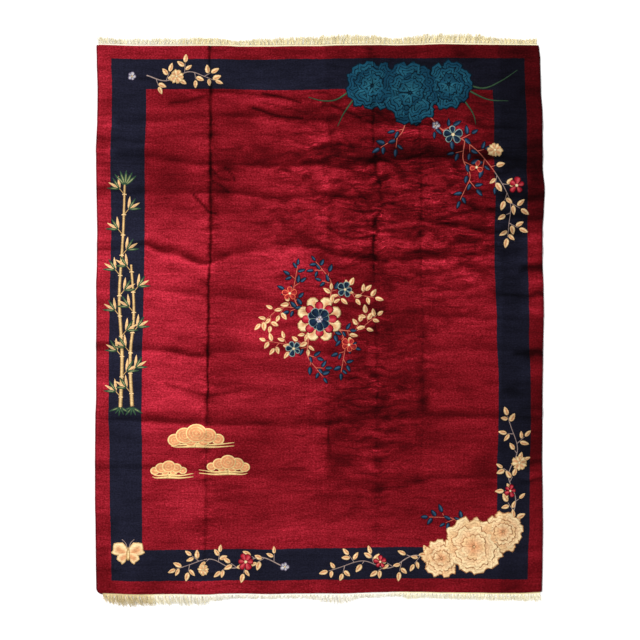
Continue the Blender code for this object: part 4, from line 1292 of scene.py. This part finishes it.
def leaf_outline(angle):
    """Pointed at both ends, widest below the middle."""
    half_width, pointed, low = 0.25, 1.35, 0.32
    across = np.sign(np.cos(angle)) * np.abs(np.cos(angle)) ** pointed
    return half_width * across * (1.0 - low * np.sin(angle)), round_outline(angle)[1]


def petal_outline(angle):
    """Narrow at its foot and round at its tip."""
    half_width, high = 0.34, 0.55
    return half_width * np.cos(angle) * (1.0 + high * np.sin(angle)), round_outline(angle)[1]


def notched_outline(angle):
    """A petal with a notch in its tip and a wavy rim."""
    wider, waves, wave_height, notch_depth, notch_reach = 1.25, 9, 0.05, 0.13, 0.45
    across, along = petal_outline(angle)
    ripple = 1.0 + wave_height * np.cos(angle * waves)
    notch = notch_depth * hill(angle - np.pi / 2, notch_reach)
    return across * wider * ripple, along * ripple - notch


def wing_outline(angle):
    """A butterfly's wing, drawn out to one side of its tip."""
    wider, drawn_out, waves, wave_height = 1.15, 0.16, 5, 0.10
    across, along = petal_outline(angle)
    return across * wider + drawn_out * along ** 2, along * (1.0 - wave_height * np.cos(angle * waves))


FINE_RINGS = (1.0, 0.88, 0.68, 0.44, 0.20)
PLAIN_RINGS = (1.0, 0.80, 0.45)
Form = namedtuple("Form", "outline sides rings")
FORMS = {
    "leaf": Form(leaf_outline, 12, PLAIN_RINGS),
    "petal": Form(petal_outline, 12, PLAIN_RINGS),
    "notched": Form(notched_outline, 28, FINE_RINGS),
    "round": Form(round_outline, 10, PLAIN_RINGS[:2]),
    "lobe": Form(round_outline, 28, FINE_RINGS),
    "wing": Form(wing_outline, 20, FINE_RINGS),
}
MIDDLE = np.array([0.0, 0.5])
EDGE_POINTS = 145
ON_RIM = 0.99  # a form's points further out than this are on its rim


def drawn_form(form):
    """A form's points on its own plan, with their distance from its rim, and its faces."""
    radius, angle, upper, faces = pad_pattern(form.sides, form.rings)
    rim = np.stack(form.outline(angle), axis=1)
    points = MIDDLE + (rim - MIDDLE) * radius[:, None]
    edge = np.stack(form.outline(np.linspace(-np.pi, np.pi, EDGE_POINTS)), axis=1)
    inset = from_line(points[:, 0], points[:, 1], [tuple(place) for place in edge])
    return points, np.where(radius > ON_RIM, 0.0, inset), upper, faces


drawn_forms = {name: drawn_form(form) for name, form in FORMS.items()}
rods = {}

CURVE_CELLS = 16  # the line between two chosen points is drawn in so many
STEM_SIDES = 5
STEM_STEP = 0.014
STEM_OUTLINE = 0.16  # a stem's outline as a share of its width
# The corners of a stem's section: one on top, two at the sides, two below in the pile
STEM_ASIDE = np.array([0.0, -1.0, -0.8, 0.8, 1.0])
STEM_RISE = np.array([PROUD, RIM_PROUD, -SUNK, -SUNK, RIM_PROUD])

TWIG_WIDTH = 0.0050
TWIG_STEP = 0.012
TWIG_TAPER = 0.7
TWIG_FOOT = 0.15  # a twig is as long as this and so much for each leaf, in leaf lengths
TWIG_FOR_LEAF = 0.32
TWIG_VARIES = (0.90, 1.15)
TWIG_LEANS = (40, 70)  # degrees off its stem
LEAF_SPACING = 0.36  # down the twig, as a share of it
LEAF_LEANS = (46, 68)
LEAF_SWAYS = (-9, 9)
LEAF_VARIES = (0.86, 1.14)
LEAF_WIDTHS = (0.90, 1.15)
LEAF_STALK = 0.10
LEAF_OUTLINE = 0.0026
LEAF_SIDES = (0, 1, -1, 1)  # the first leaf goes straight on
LEAVES_BY_TURNS = (2, 3, 1, 3, 2)

PETAL_SWAYS = (-8, 8)
PETAL_VARIES = (0.88, 1.12)
PETAL_WIDTHS = (0.85, 1.1)
PETAL_OUTLINE = OUTLINE * 0.85
HEART_RADIUS = 0.10  # of a flower's heart, as a share of the flower
HEART_OUTLINE = 0.002

# A peony's rings from the outermost: how far petals reach, how many they are and where they start, with
# distances as shares of the flower
PetalRing = namedtuple("PetalRing", "reach petals start")
PEONY = rows(PetalRing, (0.5, 11, 0.096), (0.36, 9, 0.052), (0.23, 7, 0.012))
PEONY_HEART_RADIUS = 0.06
PEONY_SWAYS = (-6, 6)
PEONY_VARIES = (0.88, 1.14)
PEONY_WIDTHS = (0.80, 1.20)
PEONY_OUTLINE = 0.0032


def rounded_path(points, step):
    """Even places along a smooth line through given points."""
    points = np.array(points, dtype=float)
    points = np.vstack([2 * points[0] - points[1], points, 2 * points[-1] - points[-2]])
    share = np.linspace(0.0, 1.0, CURVE_CELLS, endpoint=False)[:, None]
    curve = [
        0.5 * (2 * b + (c - a) * share + (2 * a - 5 * b + 4 * c - d) * share ** 2
               + (3 * b - a - 3 * c + d) * share ** 3)
        for a, b, c, d in zip(points, points[1:], points[2:], points[3:])
    ]
    curve = np.vstack(curve + [points[-2:-1]])
    run = np.append(0.0, np.cumsum(np.hypot(*np.diff(curve, axis=0).T)))
    at = np.linspace(0.0, run[-1], max(4, round(run[-1] / step) + 1))
    return np.stack([np.interp(at, run, curve[:, 0]), np.interp(at, run, curve[:, 1])], axis=1)


def toward(heading):
    """One metre towards a heading in degrees from +X."""
    return np.array([math.cos(math.radians(heading)), math.sin(math.radians(heading))])


def heading_of(run):
    """The heading of a run across the floor."""
    return math.degrees(math.atan2(run[1], run[0]))


FACTS = ("inset", "across", "along", "outline", "streak", "ripple", "fading")


class Design:
    """The shapes of one design, gathered before they are knotted into the pile as one mesh."""

    def __init__(self, seed):
        self.chance = np.random.default_rng(seed)
        self.plan, self.rise, self.faces, self.dyes = [], [], [], []
        self.facts = {name: [] for name in FACTS}
        self.count = 0

    def add(self, plan, rise, faces, dyes, **facts):
        """Adds one shape: its plan, its rise above the pile, its faces, a dye or one for each point."""
        self.faces += [tuple(point + self.count for point in face) for face in faces]
        self.plan.append(plan)
        self.rise.append(rise)
        self.count += len(plan)
        self.dyes += [dyes] * len(plan) if isinstance(dyes, Dye) else dyes
        for name, values in self.facts.items():
            values.append(np.broadcast_to(facts.get(name, 0.0), len(plan)))

    def pad(self, form, x, y, heading, length, dye, width=1.0, tier=1, outline=OUTLINE, **looks):
        """Lays one form with its foot at a place and its tip towards a heading."""
        points, inset, upper, faces = drawn_forms[form]
        along = toward(heading)
        side = np.array([along[1], -along[0]])
        plan = np.array([x, y]) + length * (points[:, :1] * width * side + points[:, 1:] * along)
        depth = inset * length * min(abs(width), 1.0)
        if width < 0:
            faces = [face[::-1] for face in faces]
        rise = RIM_PROUD + (PROUD - RIM_PROUD) * smooth(depth / ROUNDED) + tier * TIER
        sunk = SUNK + (DEEP_SUNK - SUNK) * min(length / DEEP_LENGTH, 1.0)
        self.add(
            plan, np.where(upper > 0.5, rise, -sunk), faces, dye, inset=depth, outline=outline,
            across=points[:, 0] / np.abs(points[:, 0]).max(), along=points[:, 1], **{"streak": 1.0, **looks},
        )

    def stem(self, points, width, dye_at, taper=0.6, tier=0, step=STEM_STEP):
        """Lays a stem along a smooth line. dye_at is a dye, or gives one for a place."""
        path = rounded_path(points, step)
        stations = len(path)
        if stations not in rods:
            rods[stations] = prism_pattern(STEM_SIDES, stations)
        rod, station, faces = rods[stations]
        turn = np.arctan2(rod[:, 1], rod[:, 0]) / (2 * np.pi)
        corner = np.round(turn * STEM_SIDES).astype(int) % STEM_SIDES
        along = np.gradient(path, axis=0)
        along /= np.hypot(along[:, 0], along[:, 1])[:, None]
        side = np.stack([along[:, 1], -along[:, 0]], axis=1)
        half = (width / 2 * np.linspace(1.0, taper, stations))[station]
        aside, rise = STEM_ASIDE[corner], STEM_RISE[corner]
        plan = path[station] + side[station] * (aside * half)[:, None]
        dyes = dye_at if isinstance(dye_at, Dye) else [dye_at(*path[at]) for at in station]
        rise = rise + np.where(rise > 0, tier * TIER, 0.0)
        self.add(
            plan, rise, faces, dyes, inset=np.where(aside == 0.0, half, 0.0), across=aside,
            along=station / (stations - 1), outline=width * STEM_OUTLINE,
        )
        return path

    def twig(self, x, y, heading, leaves, leaf_length, leaf_dye, stem_dye):
        """A short stalk with one leaf at its end and the others in turn at its sides."""
        foot, ahead = np.array([x, y]), toward(heading)
        reach = leaf_length * (TWIG_FOOT + TWIG_FOR_LEAF * leaves) * self.chance.uniform(*TWIG_VARIES)
        stalk = [foot, foot + ahead * reach / 2, foot + ahead * reach]
        self.stem(stalk, TWIG_WIDTH, stem_dye, TWIG_TAPER, step=TWIG_STEP)
        for leaf in range(leaves):
            place = foot + ahead * reach * (1.0 - LEAF_SPACING * leaf)
            lean = LEAF_SIDES[leaf] * self.chance.uniform(*LEAF_LEANS) + self.chance.uniform(*LEAF_SWAYS)
            length = leaf_length * self.chance.uniform(*LEAF_VARIES)
            dye = leaf_dye if isinstance(leaf_dye, Dye) else leaf_dye(*place)
            width = self.chance.uniform(*LEAF_WIDTHS)
            place = place + LEAF_STALK * length * toward(heading + lean)
            self.pad("leaf", *place, heading + lean, length, dye, width, 1 + leaf % 2, LEAF_OUTLINE)

    def spray(self, points, stem_dye, leaf_dye, leaf_length=0.050, spacing=0.056, width=0.0070):
        """A stem with leafy twigs that come off it by turns to the left and the right."""
        path = self.stem(points, width, stem_dye)
        every = max(1, round(spacing / STEM_STEP))
        for number, at in enumerate(range(every, len(path) - 1, every)):
            ahead = heading_of(path[at + 1] - path[at - 1])
            lean = (1 if number % 2 else -1) * self.chance.uniform(*TWIG_LEANS)
            leaves = LEAVES_BY_TURNS[number % len(LEAVES_BY_TURNS)]
            self.twig(*path[at], ahead + lean, leaves, leaf_length, leaf_dye, stem_dye)
        self.twig(*path[-1], heading_of(path[-1] - path[-3]), 3, leaf_length, leaf_dye, stem_dye)

    def blossom(self, x, y, size, petals, dye, form="petal", turn=0.0, tier=3):
        """An open flower: petals round a small heart."""
        for petal in range(petals):
            heading = turn + 360.0 * petal / petals + self.chance.uniform(*PETAL_SWAYS)
            length = size / 2 * self.chance.uniform(*PETAL_VARIES)
            width = self.chance.uniform(*PETAL_WIDTHS)
            self.pad(form, x, y, heading, length, dye, width, tier + petal % 2, PETAL_OUTLINE)
        radius = size * HEART_RADIUS
        self.pad("round", x, y - radius, UPRIGHT, 2 * radius, DOT, 1.0, tier + 2, HEART_OUTLINE, streak=0.0)

    def peony(self, x, y, size, dyes, turn=0.0, tier=1, ripple=1.0):
        """A full flower in three rings of wavy petals, over a small round heart."""
        radius = size * PEONY_HEART_RADIUS
        self.pad("round", x, y - radius, UPRIGHT, 2 * radius, dyes[-1], tier=tier, streak=0.0)
        for number, ring in enumerate(PEONY):
            for petal in range(ring.petals):
                heading = turn + 360.0 * (petal + 0.5 * (number % 2)) / ring.petals
                heading += self.chance.uniform(*PEONY_SWAYS)
                length = size * (ring.reach - ring.start) * self.chance.uniform(*PEONY_VARIES)
                foot = np.array([x, y]) + size * ring.start * toward(heading)
                dye = dyes[int(self.chance.integers(len(dyes)))]
                width = self.chance.uniform(*PEONY_WIDTHS)
                level = tier + 2 * number + petal % 2
                self.pad(
                    "notched", *foot, heading, length, dye, width, level, PEONY_OUTLINE,
                    streak=0.0, ripple=ripple, fading=1.0,
                )

    def laid(self, name, material):
        """Knots the design into the pile: one mesh that follows the folds under it."""
        plan = np.vstack(self.plan)
        s, t = straight_at(plan[:, 0], plan[:, 1])
        height = lift_at(s, t) + pile_at(s, t) + np.concatenate(self.rise)
        made = joined(name, np.column_stack([plan, height]), self.faces)
        for fact, values in self.facts.items():
            measured(made.data, fact, np.concatenate(values))
        # painted light and shade of the pile under the shapes
        measured(made.data, "tone", painted_light_at(s, t))
        for part in Dye._fields:
            colours = np.array([(*getattr(dye, part), 1.0) for dye in self.dyes])
            stored = made.data.attributes.new(part + "_dye", "FLOAT_COLOR", "POINT")
            stored.data.foreach_set("color", colours.ravel())
        made.data.shade_smooth()
        made.data.materials.append(material)
        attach(made, "root")
        return made


RIM_FRAY = 0.0022  # how far a shape's rim is frayed
OUTLINE_BLEND = 0.0014
CLIPPED_PITCH = 0.0140  # between the lines clipped into a petal
CLIPPED_WANDER = 0.012
INLAID_CONTRAST = 0.40  # inlaid wool shows the painted light and shade less than the ground
INLAID_TONE = 0.94


def inlay_material():
    """Wool of the inlaid shapes: an outline, a body and a streaked heart in three dyes, and clipped lines."""
    material, shader, start = fibre("inlaid_wool", 0.85, 0.03, (1.0, 0.80, 0.60))
    place, along = start.place(), start.fact("along")
    edge_dye, body_dye, heart_dye = [start.fact(part + "_dye", 0) for part in Dye._fields]
    inset = start.fact("inset") + (place.noise(scale=240.0, detail=1.0) - 0.5) * RIM_FRAY
    within_line = start.math("MULTIPLY", inset - start.fact("outline"), 1 / OUTLINE_BLEND, clamp=True)
    streak = (1 - (start.fact("across") - 0.22).size()).above(0.66, blend=0.40) * start.fact("streak")
    streak = streak * along.above(0.14, blend=0.20) * (1 - along.above(0.80, blend=0.24))
    shaded = streak + (1 - along.above(0.52, blend=0.80)) * start.fact("fading")
    colour = within_line.dyed(edge_dye, (shaded * within_line).dyed(body_dye, heart_dye))
    pulled = inset + (place.noise(scale=26.0) - 0.5) * CLIPPED_WANDER
    wave = start.math("SINE", pulled * (2 * math.pi / CLIPPED_PITCH))
    lines = wave.above(0.72, blend=0.24) * start.fact("ripple") * within_line
    colour = lines.dyed(colour, edge_dye)
    grain = place.stretched(x=42.0, y=140.0).varied(1.0, amount=0.45)
    grain = grain * place.varied(scale=110.0, amount=0.50, detail=3.0, roughness=0.7)
    # painted light and shade of the pile, weaker on the inlaid wool
    colour = colour.scaled(start.fact("tone") ** INLAID_CONTRAST * INLAID_TONE * grain)
    height = place.noise(scale=330.0, detail=1.0)
    return finished(material, shader, colour, height, bump_depth=0.0010, bump_strength=0.35)


inlaid_wool = inlay_material()

# Head, on the right: teal peonies hang from the border, with green blades and a leafy spray
BLADE_WIDTH = 0.013
BLADE_TAPER = 0.35
crown = Design(71)
for points in (
    [(0.78, 1.30), (0.90, 1.27), (1.00, 1.31), (1.09, 1.37)], [(0.78, 1.28), (0.92, 1.21), (1.04, 1.20)],
    [(0.20, 1.28), (0.10, 1.21), (0.02, 1.20), (-0.06, 1.22)], [(0.22, 1.25), (0.14, 1.14), (0.10, 1.06)],
    [(0.76, 1.25), (0.84, 1.14), (0.86, 1.07)],
):
    crown.stem(points, BLADE_WIDTH, GREEN_BLADE, BLADE_TAPER)
for points in (
    [(0.60, 1.12), (0.69, 1.03), (0.80, 0.98), (0.90, 0.89), (0.99, 0.77), (1.05, 0.64), (1.04, 0.50)],
    [(0.80, 0.98), (0.79, 0.88), (0.83, 0.79), (0.80, 0.71)], [(0.48, 1.10), (0.45, 1.02), (0.38, 0.97)],
):
    crown.spray(points, stem_dye, leaf_dye)
crown.peony(0.29, 1.285, 0.29, TEALS, turn=12.0)
crown.peony(0.71, 1.290, 0.27, TEALS, turn=40.0)
crown.peony(0.50, 1.245, 0.35, TEALS, tier=3)
crown.blossom(0.735, 1.015, 0.105, 5, OUTLINED_NAVY, turn=18.0)
crown.blossom(0.865, 0.835, 0.085, 3, OUTLINED_CORAL, turn=200.0)
crown.blossom(0.965, 0.930, 0.085, 5, TAN_BLOSSOM, "notched", turn=50.0)
crown.blossom(1.085, 0.735, 0.095, 5, RED_BLOSSOM, turn=10.0)
crown.blossom(0.640, 1.065, 0.050, 5, LILAC_BLOSSOM, "round")

# Border on the left: two bamboo canes, jointed, with fans of narrow leaves
CANE_WIDTH = 0.021
JOINT_REACH = 0.012
JOINT_BULGE = 0.002
JOINT_WIDTH = 0.006
FIRST_JOINT = 5  # in steps of the cane
JOINT_STEPS = 8
BRANCH = (0.028, 0.034)
BRANCH_WIDTH = 0.005
BRANCH_TIP = (0.026, 0.032)
FAN_TURN = 52
FAN_STEP = 27
FAN_START = 46
BLADE_LENGTH = 0.072
CROWN_BLADE_LENGTH = 0.085
ROOT_BLADES = (0.045, 0.070)
NARROW = 0.42
bamboo = Design(72)
for cane in (
    [(-1.095, -0.50), (-1.085, -0.20), (-1.100, 0.12), (-1.080, 0.45), (-1.070, 0.74)],
    [(-1.030, -0.48), (-1.040, -0.22), (-1.020, 0.04), (-1.035, 0.30)],
):
    path = bamboo.stem(cane, CANE_WIDTH, CANE)
    for number, at in enumerate(range(FIRST_JOINT, len(path) - 1, JOINT_STEPS)):
        x, y = path[at]
        joint = [(x - JOINT_REACH, y), (x, y + JOINT_BULGE), (x + JOINT_REACH, y)]
        bamboo.stem(joint, JOINT_WIDTH, TAN_LEAF, taper=1.0, tier=2, step=JOINT_WIDTH)
        side = 1 if number % 2 else -1
        bamboo.stem([(x, y), (x + side * BRANCH[0], y + BRANCH[1])], BRANCH_WIDTH, CANE, taper=0.8, tier=1)
        for leaf in range(4):
            dye = GREEN_BLADE if leaf % 2 else TAN_LEAF
            heading = UPRIGHT - side * (FAN_TURN + leaf * FAN_STEP - FAN_START)
            tip = (x + side * BRANCH_TIP[0], y + BRANCH_TIP[1])
            bamboo.pad("leaf", *tip, heading, BLADE_LENGTH, dye, NARROW, tier=1 + leaf % 2)
for heading in (60, 84, 108, 132, 40):
    bamboo.pad("leaf", -1.070, 0.735, heading, CROWN_BLADE_LENGTH, GREEN_BLADE, NARROW)
for x in (-1.095, -1.030):
    for heading in (200, 232, 262, 296, 330):
        length = bamboo.chance.uniform(*ROOT_BLADES)
        bamboo.pad("leaf", x, -0.485, heading, length, GREEN_BLADE, NARROW, tier=2)

# Middle: a round of leaves and flowers about a large navy blossom
ROUND_LEAF = 0.044
round_flower = Design(73)


def turned(turn, *places):
    """Places in a quarter of the round: how far out and how far to the left of its heading."""
    ahead = toward(turn)
    left = np.array([-ahead[1], ahead[0]])
    return [ahead * out + left * aside for out, aside in places]


for quarter in range(4):
    turn = 45 + 90 * quarter
    long_dye, short_dye = (NAVY_LEAF, TAN_LEAF) if quarter % 2 else (TAN_LEAF, NAVY_LEAF)
    long_twig = turned(turn, (0.05, 0.0), (0.12, 0.035), (0.20, 0.00), (0.265, -0.085))
    short_twig = turned(turn, (0.12, 0.035), (0.19, 0.10), (0.205, 0.19))
    round_flower.spray(long_twig, CORAL_STEM, long_dye, leaf_length=ROUND_LEAF, spacing=ROUND_LEAF)
    round_flower.spray(short_twig, CORAL_STEM, short_dye, leaf_length=ROUND_LEAF, spacing=ROUND_LEAF)
    bloom = OUTLINED_CORAL if quarter % 2 else OUTLINED_NAVY
    round_flower.blossom(*turned(turn, (0.215, 0.015))[0], 0.085, 5, bloom, turn=20.0 * quarter)
RING_START = 0.022
for reach, dye, offset, tier in ((0.105, TAN_BLOSSOM, 22.5, 2), (0.078, RED_BLOSSOM, 0.0, 4)):
    for petal in range(8):
        heading = offset + 45 * petal
        foot = RING_START * toward(heading)
        round_flower.pad("petal", *foot, heading, reach, dye, width=0.85, tier=tier + petal % 2)
round_flower.blossom(0.0, 0.0, 0.125, 9, OUTLINED_NAVY, tier=6)
round_flower.blossom(0.0, 0.0, 0.045, 6, LILAC_BLOSSOM, "round", tier=8)

# Lower field, on the left: drifting clouds, each of round lobes between two long tails
Lobe = namedtuple("Lobe", "across along size")
LOBES = rows(
    Lobe,
    (-0.34, 0.00, 0.20), (0.36, 0.01, 0.18), (-0.18, 0.07, 0.26), (0.20, 0.07, 0.24), (0.01, 0.11, 0.30),
    (-0.08, -0.02, 0.18), (0.13, -0.02, 0.17),
)
Cloud = namedtuple("Cloud", "x y length facing")
CLOUDS = rows(Cloud, (-0.68, -0.665, 0.34, 1), (-0.50, -0.815, 0.26, -1), (-0.83, -0.835, 0.22, 1))
TAIL_WIDTH = 0.014
TAIL_TAPER = 0.25
TAIL_BELOW = 0.022
TAIL_SPACING = 0.013
CLOUD_OUTLINE = 0.0048
clouds = Design(74)
for cloud in CLOUDS:
    half = cloud.length / 2
    for side, reach in ((cloud.facing, 1.25), (-cloud.facing, 0.80)):
        for row in (0, 1):
            base = cloud.y - TAIL_BELOW - TAIL_SPACING * row
            bend = (cloud.x + side * half * 0.6, base - 0.004)
            tip = (cloud.x + side * half * reach, base + 0.008 - 0.005 * row)
            clouds.stem([(cloud.x, base), bend, tip], TAIL_WIDTH, CLOUD_TAIL, TAIL_TAPER, row)
    for number, lobe in enumerate(LOBES):
        size = lobe.size * cloud.length
        x = cloud.x + cloud.facing * lobe.across * cloud.length
        y = cloud.y + lobe.along * cloud.length - size / 2
        clouds.pad(
            "lobe", x, y, UPRIGHT, size, CLOUD, 1.15, 1 + number % 5, CLOUD_OUTLINE, streak=0.0, ripple=0.6,
        )

# Foot, on the right: cream peonies in the corner, with sprays along both borders
SMALL_LEAF = 0.046
QUIET = 0.45  # how strongly the clipped lines show in cream petals
corner = Design(75)
for points, stem, leaf in (
    ([(1.03, -1.16), (1.08, -1.00), (1.04, -0.86), (1.09, -0.72), (1.05, -0.58)], LILAC_STEM, TAN_LEAF),
    ([(0.66, -1.34), (0.52, -1.30), (0.38, -1.37), (0.24, -1.33), (0.10, -1.37)], LILAC_STEM, TAN_LEAF),
    ([(0.82, -1.18), (0.74, -1.10), (0.66, -1.09)], CORAL_STEM, NAVY_LEAF),
):
    corner.spray(points, stem, leaf, SMALL_LEAF)
corner.peony(1.01, -1.17, 0.22, CREAMS, turn=20.0, ripple=QUIET)
corner.peony(0.67, -1.315, 0.21, CREAMS, turn=5.0, ripple=QUIET)
corner.peony(0.85, -1.252, 0.33, CREAMS, tier=3, ripple=QUIET)
corner.blossom(1.10, -0.790, 0.080, 5, TAN_BLOSSOM, "notched", turn=30.0)
corner.blossom(1.05, -0.945, 0.070, 5, RED_BLOSSOM)
corner.blossom(0.335, -1.335, 0.075, 5, RED_BLOSSOM, turn=20.0)

# Foot border, left of the middle: a tan spray with one red flower
foot_spray = Design(76)
foot_spray.spray(
    [(-0.20, -1.36), (-0.33, -1.31), (-0.47, -1.37), (-0.60, -1.32), (-0.74, -1.36)],
    LILAC_STEM, TAN_LEAF, SMALL_LEAF,
)
foot_spray.blossom(-0.405, -1.335, 0.095, 6, RED_BLOSSOM)
foot_spray.blossom(-0.190, -1.362, 0.055, 5, LILAC_BLOSSOM, "round")
foot_spray.blossom(-0.640, -1.380, 0.060, 5, TAN_BLOSSOM, "notched")

# Foot corner, on the left: a butterfly
BODY = np.array([-1.052, -1.290])
FEELER_WIDTH = 0.004
butterfly = Design(77)
for side in (1, -1):
    for heading, length, wide in ((34, 0.090, 1.05), (-28, 0.066, 1.10)):
        butterfly.pad("wing", *BODY, UPRIGHT - side * (UPRIGHT - heading), length, TAN_BLOSSOM, side * wide)
    feeler = [BODY, BODY + (side * 0.012, 0.055), BODY + (side * 0.034, 0.078)]
    butterfly.stem(feeler, FEELER_WIDTH, LILAC_STEM, taper=0.8)
butterfly.pad("leaf", *(BODY - (0.0, 0.040)), UPRIGHT, 0.078, CANE, width=0.55, tier=3)

# Head border, on the left: a short spray
head_spray = Design(78)
head_spray.spray(
    [(-0.95, 1.34), (-0.84, 1.31), (-0.72, 1.36), (-0.62, 1.33)], LILAC_STEM, TAN_LEAF, SMALL_LEAF,
)
head_spray.blossom(-0.785, 1.335, 0.080, 5, TAN_BLOSSOM, "notched", turn=12.0)
head_spray.blossom(-1.030, 1.335, 0.050, 5, LILAC_BLOSSOM, "round")

motifs = [
    design.laid(name, inlaid_wool)
    for name, design in (
        ("teal_peonies_and_spray", crown), ("bamboo_canes", bamboo), ("middle_flower_round", round_flower),
        ("cloud_bands", clouds), ("cream_peonies_and_sprays", corner), ("foot_border_spray", foot_spray),
        ("corner_butterfly", butterfly), ("head_border_spray", head_spray),
    )
]


# ----------------------------------------
# The whole rug laid out flat on a plain white floor, and how it is seen: from straight above, in
# soft light from the left and the head, so that the ridges and grooves read.
# ----------------------------------------

FLOOR_SIZE = 40.0
FLOOR_DROP = 0.0004  # the rug's underside just clears the floor
FLOOR_WHITE = (0.94, 0.94, 0.94, 1.0)
FLOOR_ROUGHNESS = 0.9
FLOOR_SPECULAR = 0.1
deselect()
bpy.ops.mesh.primitive_plane_add(size=FLOOR_SIZE, location=(0.0, 0.0, -FLOOR_DROP))
floor = bpy.context.object
floor.name = "floor"
bpy.ops.object.transform_apply(location=True, rotation=True, scale=True)
white = bpy.data.materials.new("white_floor")
white.use_nodes = True
white_shader = white.node_tree.nodes["Principled BSDF"]
white_shader.inputs["Base Color"].default_value = FLOOR_WHITE
white_shader.inputs["Roughness"].default_value = FLOOR_ROUGHNESS
white_shader.inputs["Specular IOR Level"].default_value = FLOOR_SPECULAR
floor.data.materials.append(white)

ROOM_LIGHT = 0.76
ROOM_WHITE = (1.0, 1.0, 1.0, 1.0)
world = bpy.data.worlds.new("soft_room")
world.use_nodes = True
world.node_tree.nodes["Background"].inputs["Color"].default_value = ROOM_WHITE
world.node_tree.nodes["Background"].inputs["Strength"].default_value = ROOM_LIGHT
bpy.context.scene.world = world

KEY_STRENGTH = 2.7
KEY_ELEVATION = math.radians(41)
KEY_AZIMUTH = math.radians(140)  # where the light comes from, counted from +X towards +Y
KEY_SOFTNESS = math.radians(16)
bpy.ops.object.light_add(type="SUN")
key = bpy.context.object
key.name = "key_light"
key.data.energy = KEY_STRENGTH
key.data.angle = KEY_SOFTNESS
key.rotation_euler = (0.0, math.pi / 2 - KEY_ELEVATION, KEY_AZIMUTH)

PICTURE_MIDDLE = (0.0033, -0.0050)
PICTURE_WIDTH = 3.52  # what the picture takes in, at the height of the pile
LENS = 85.0
SENSOR = 36.0
FARTHEST_SEEN = 100.0
bpy.ops.object.camera_add(location=(*PICTURE_MIDDLE, THICKNESS + PICTURE_WIDTH * LENS / SENSOR))
camera = bpy.context.object
camera.data.lens = LENS
camera.data.sensor_width = SENSOR
camera.data.clip_end = FARTHEST_SEEN
bpy.context.scene.camera = camera
bpy.context.scene.view_settings.view_transform = "Standard"
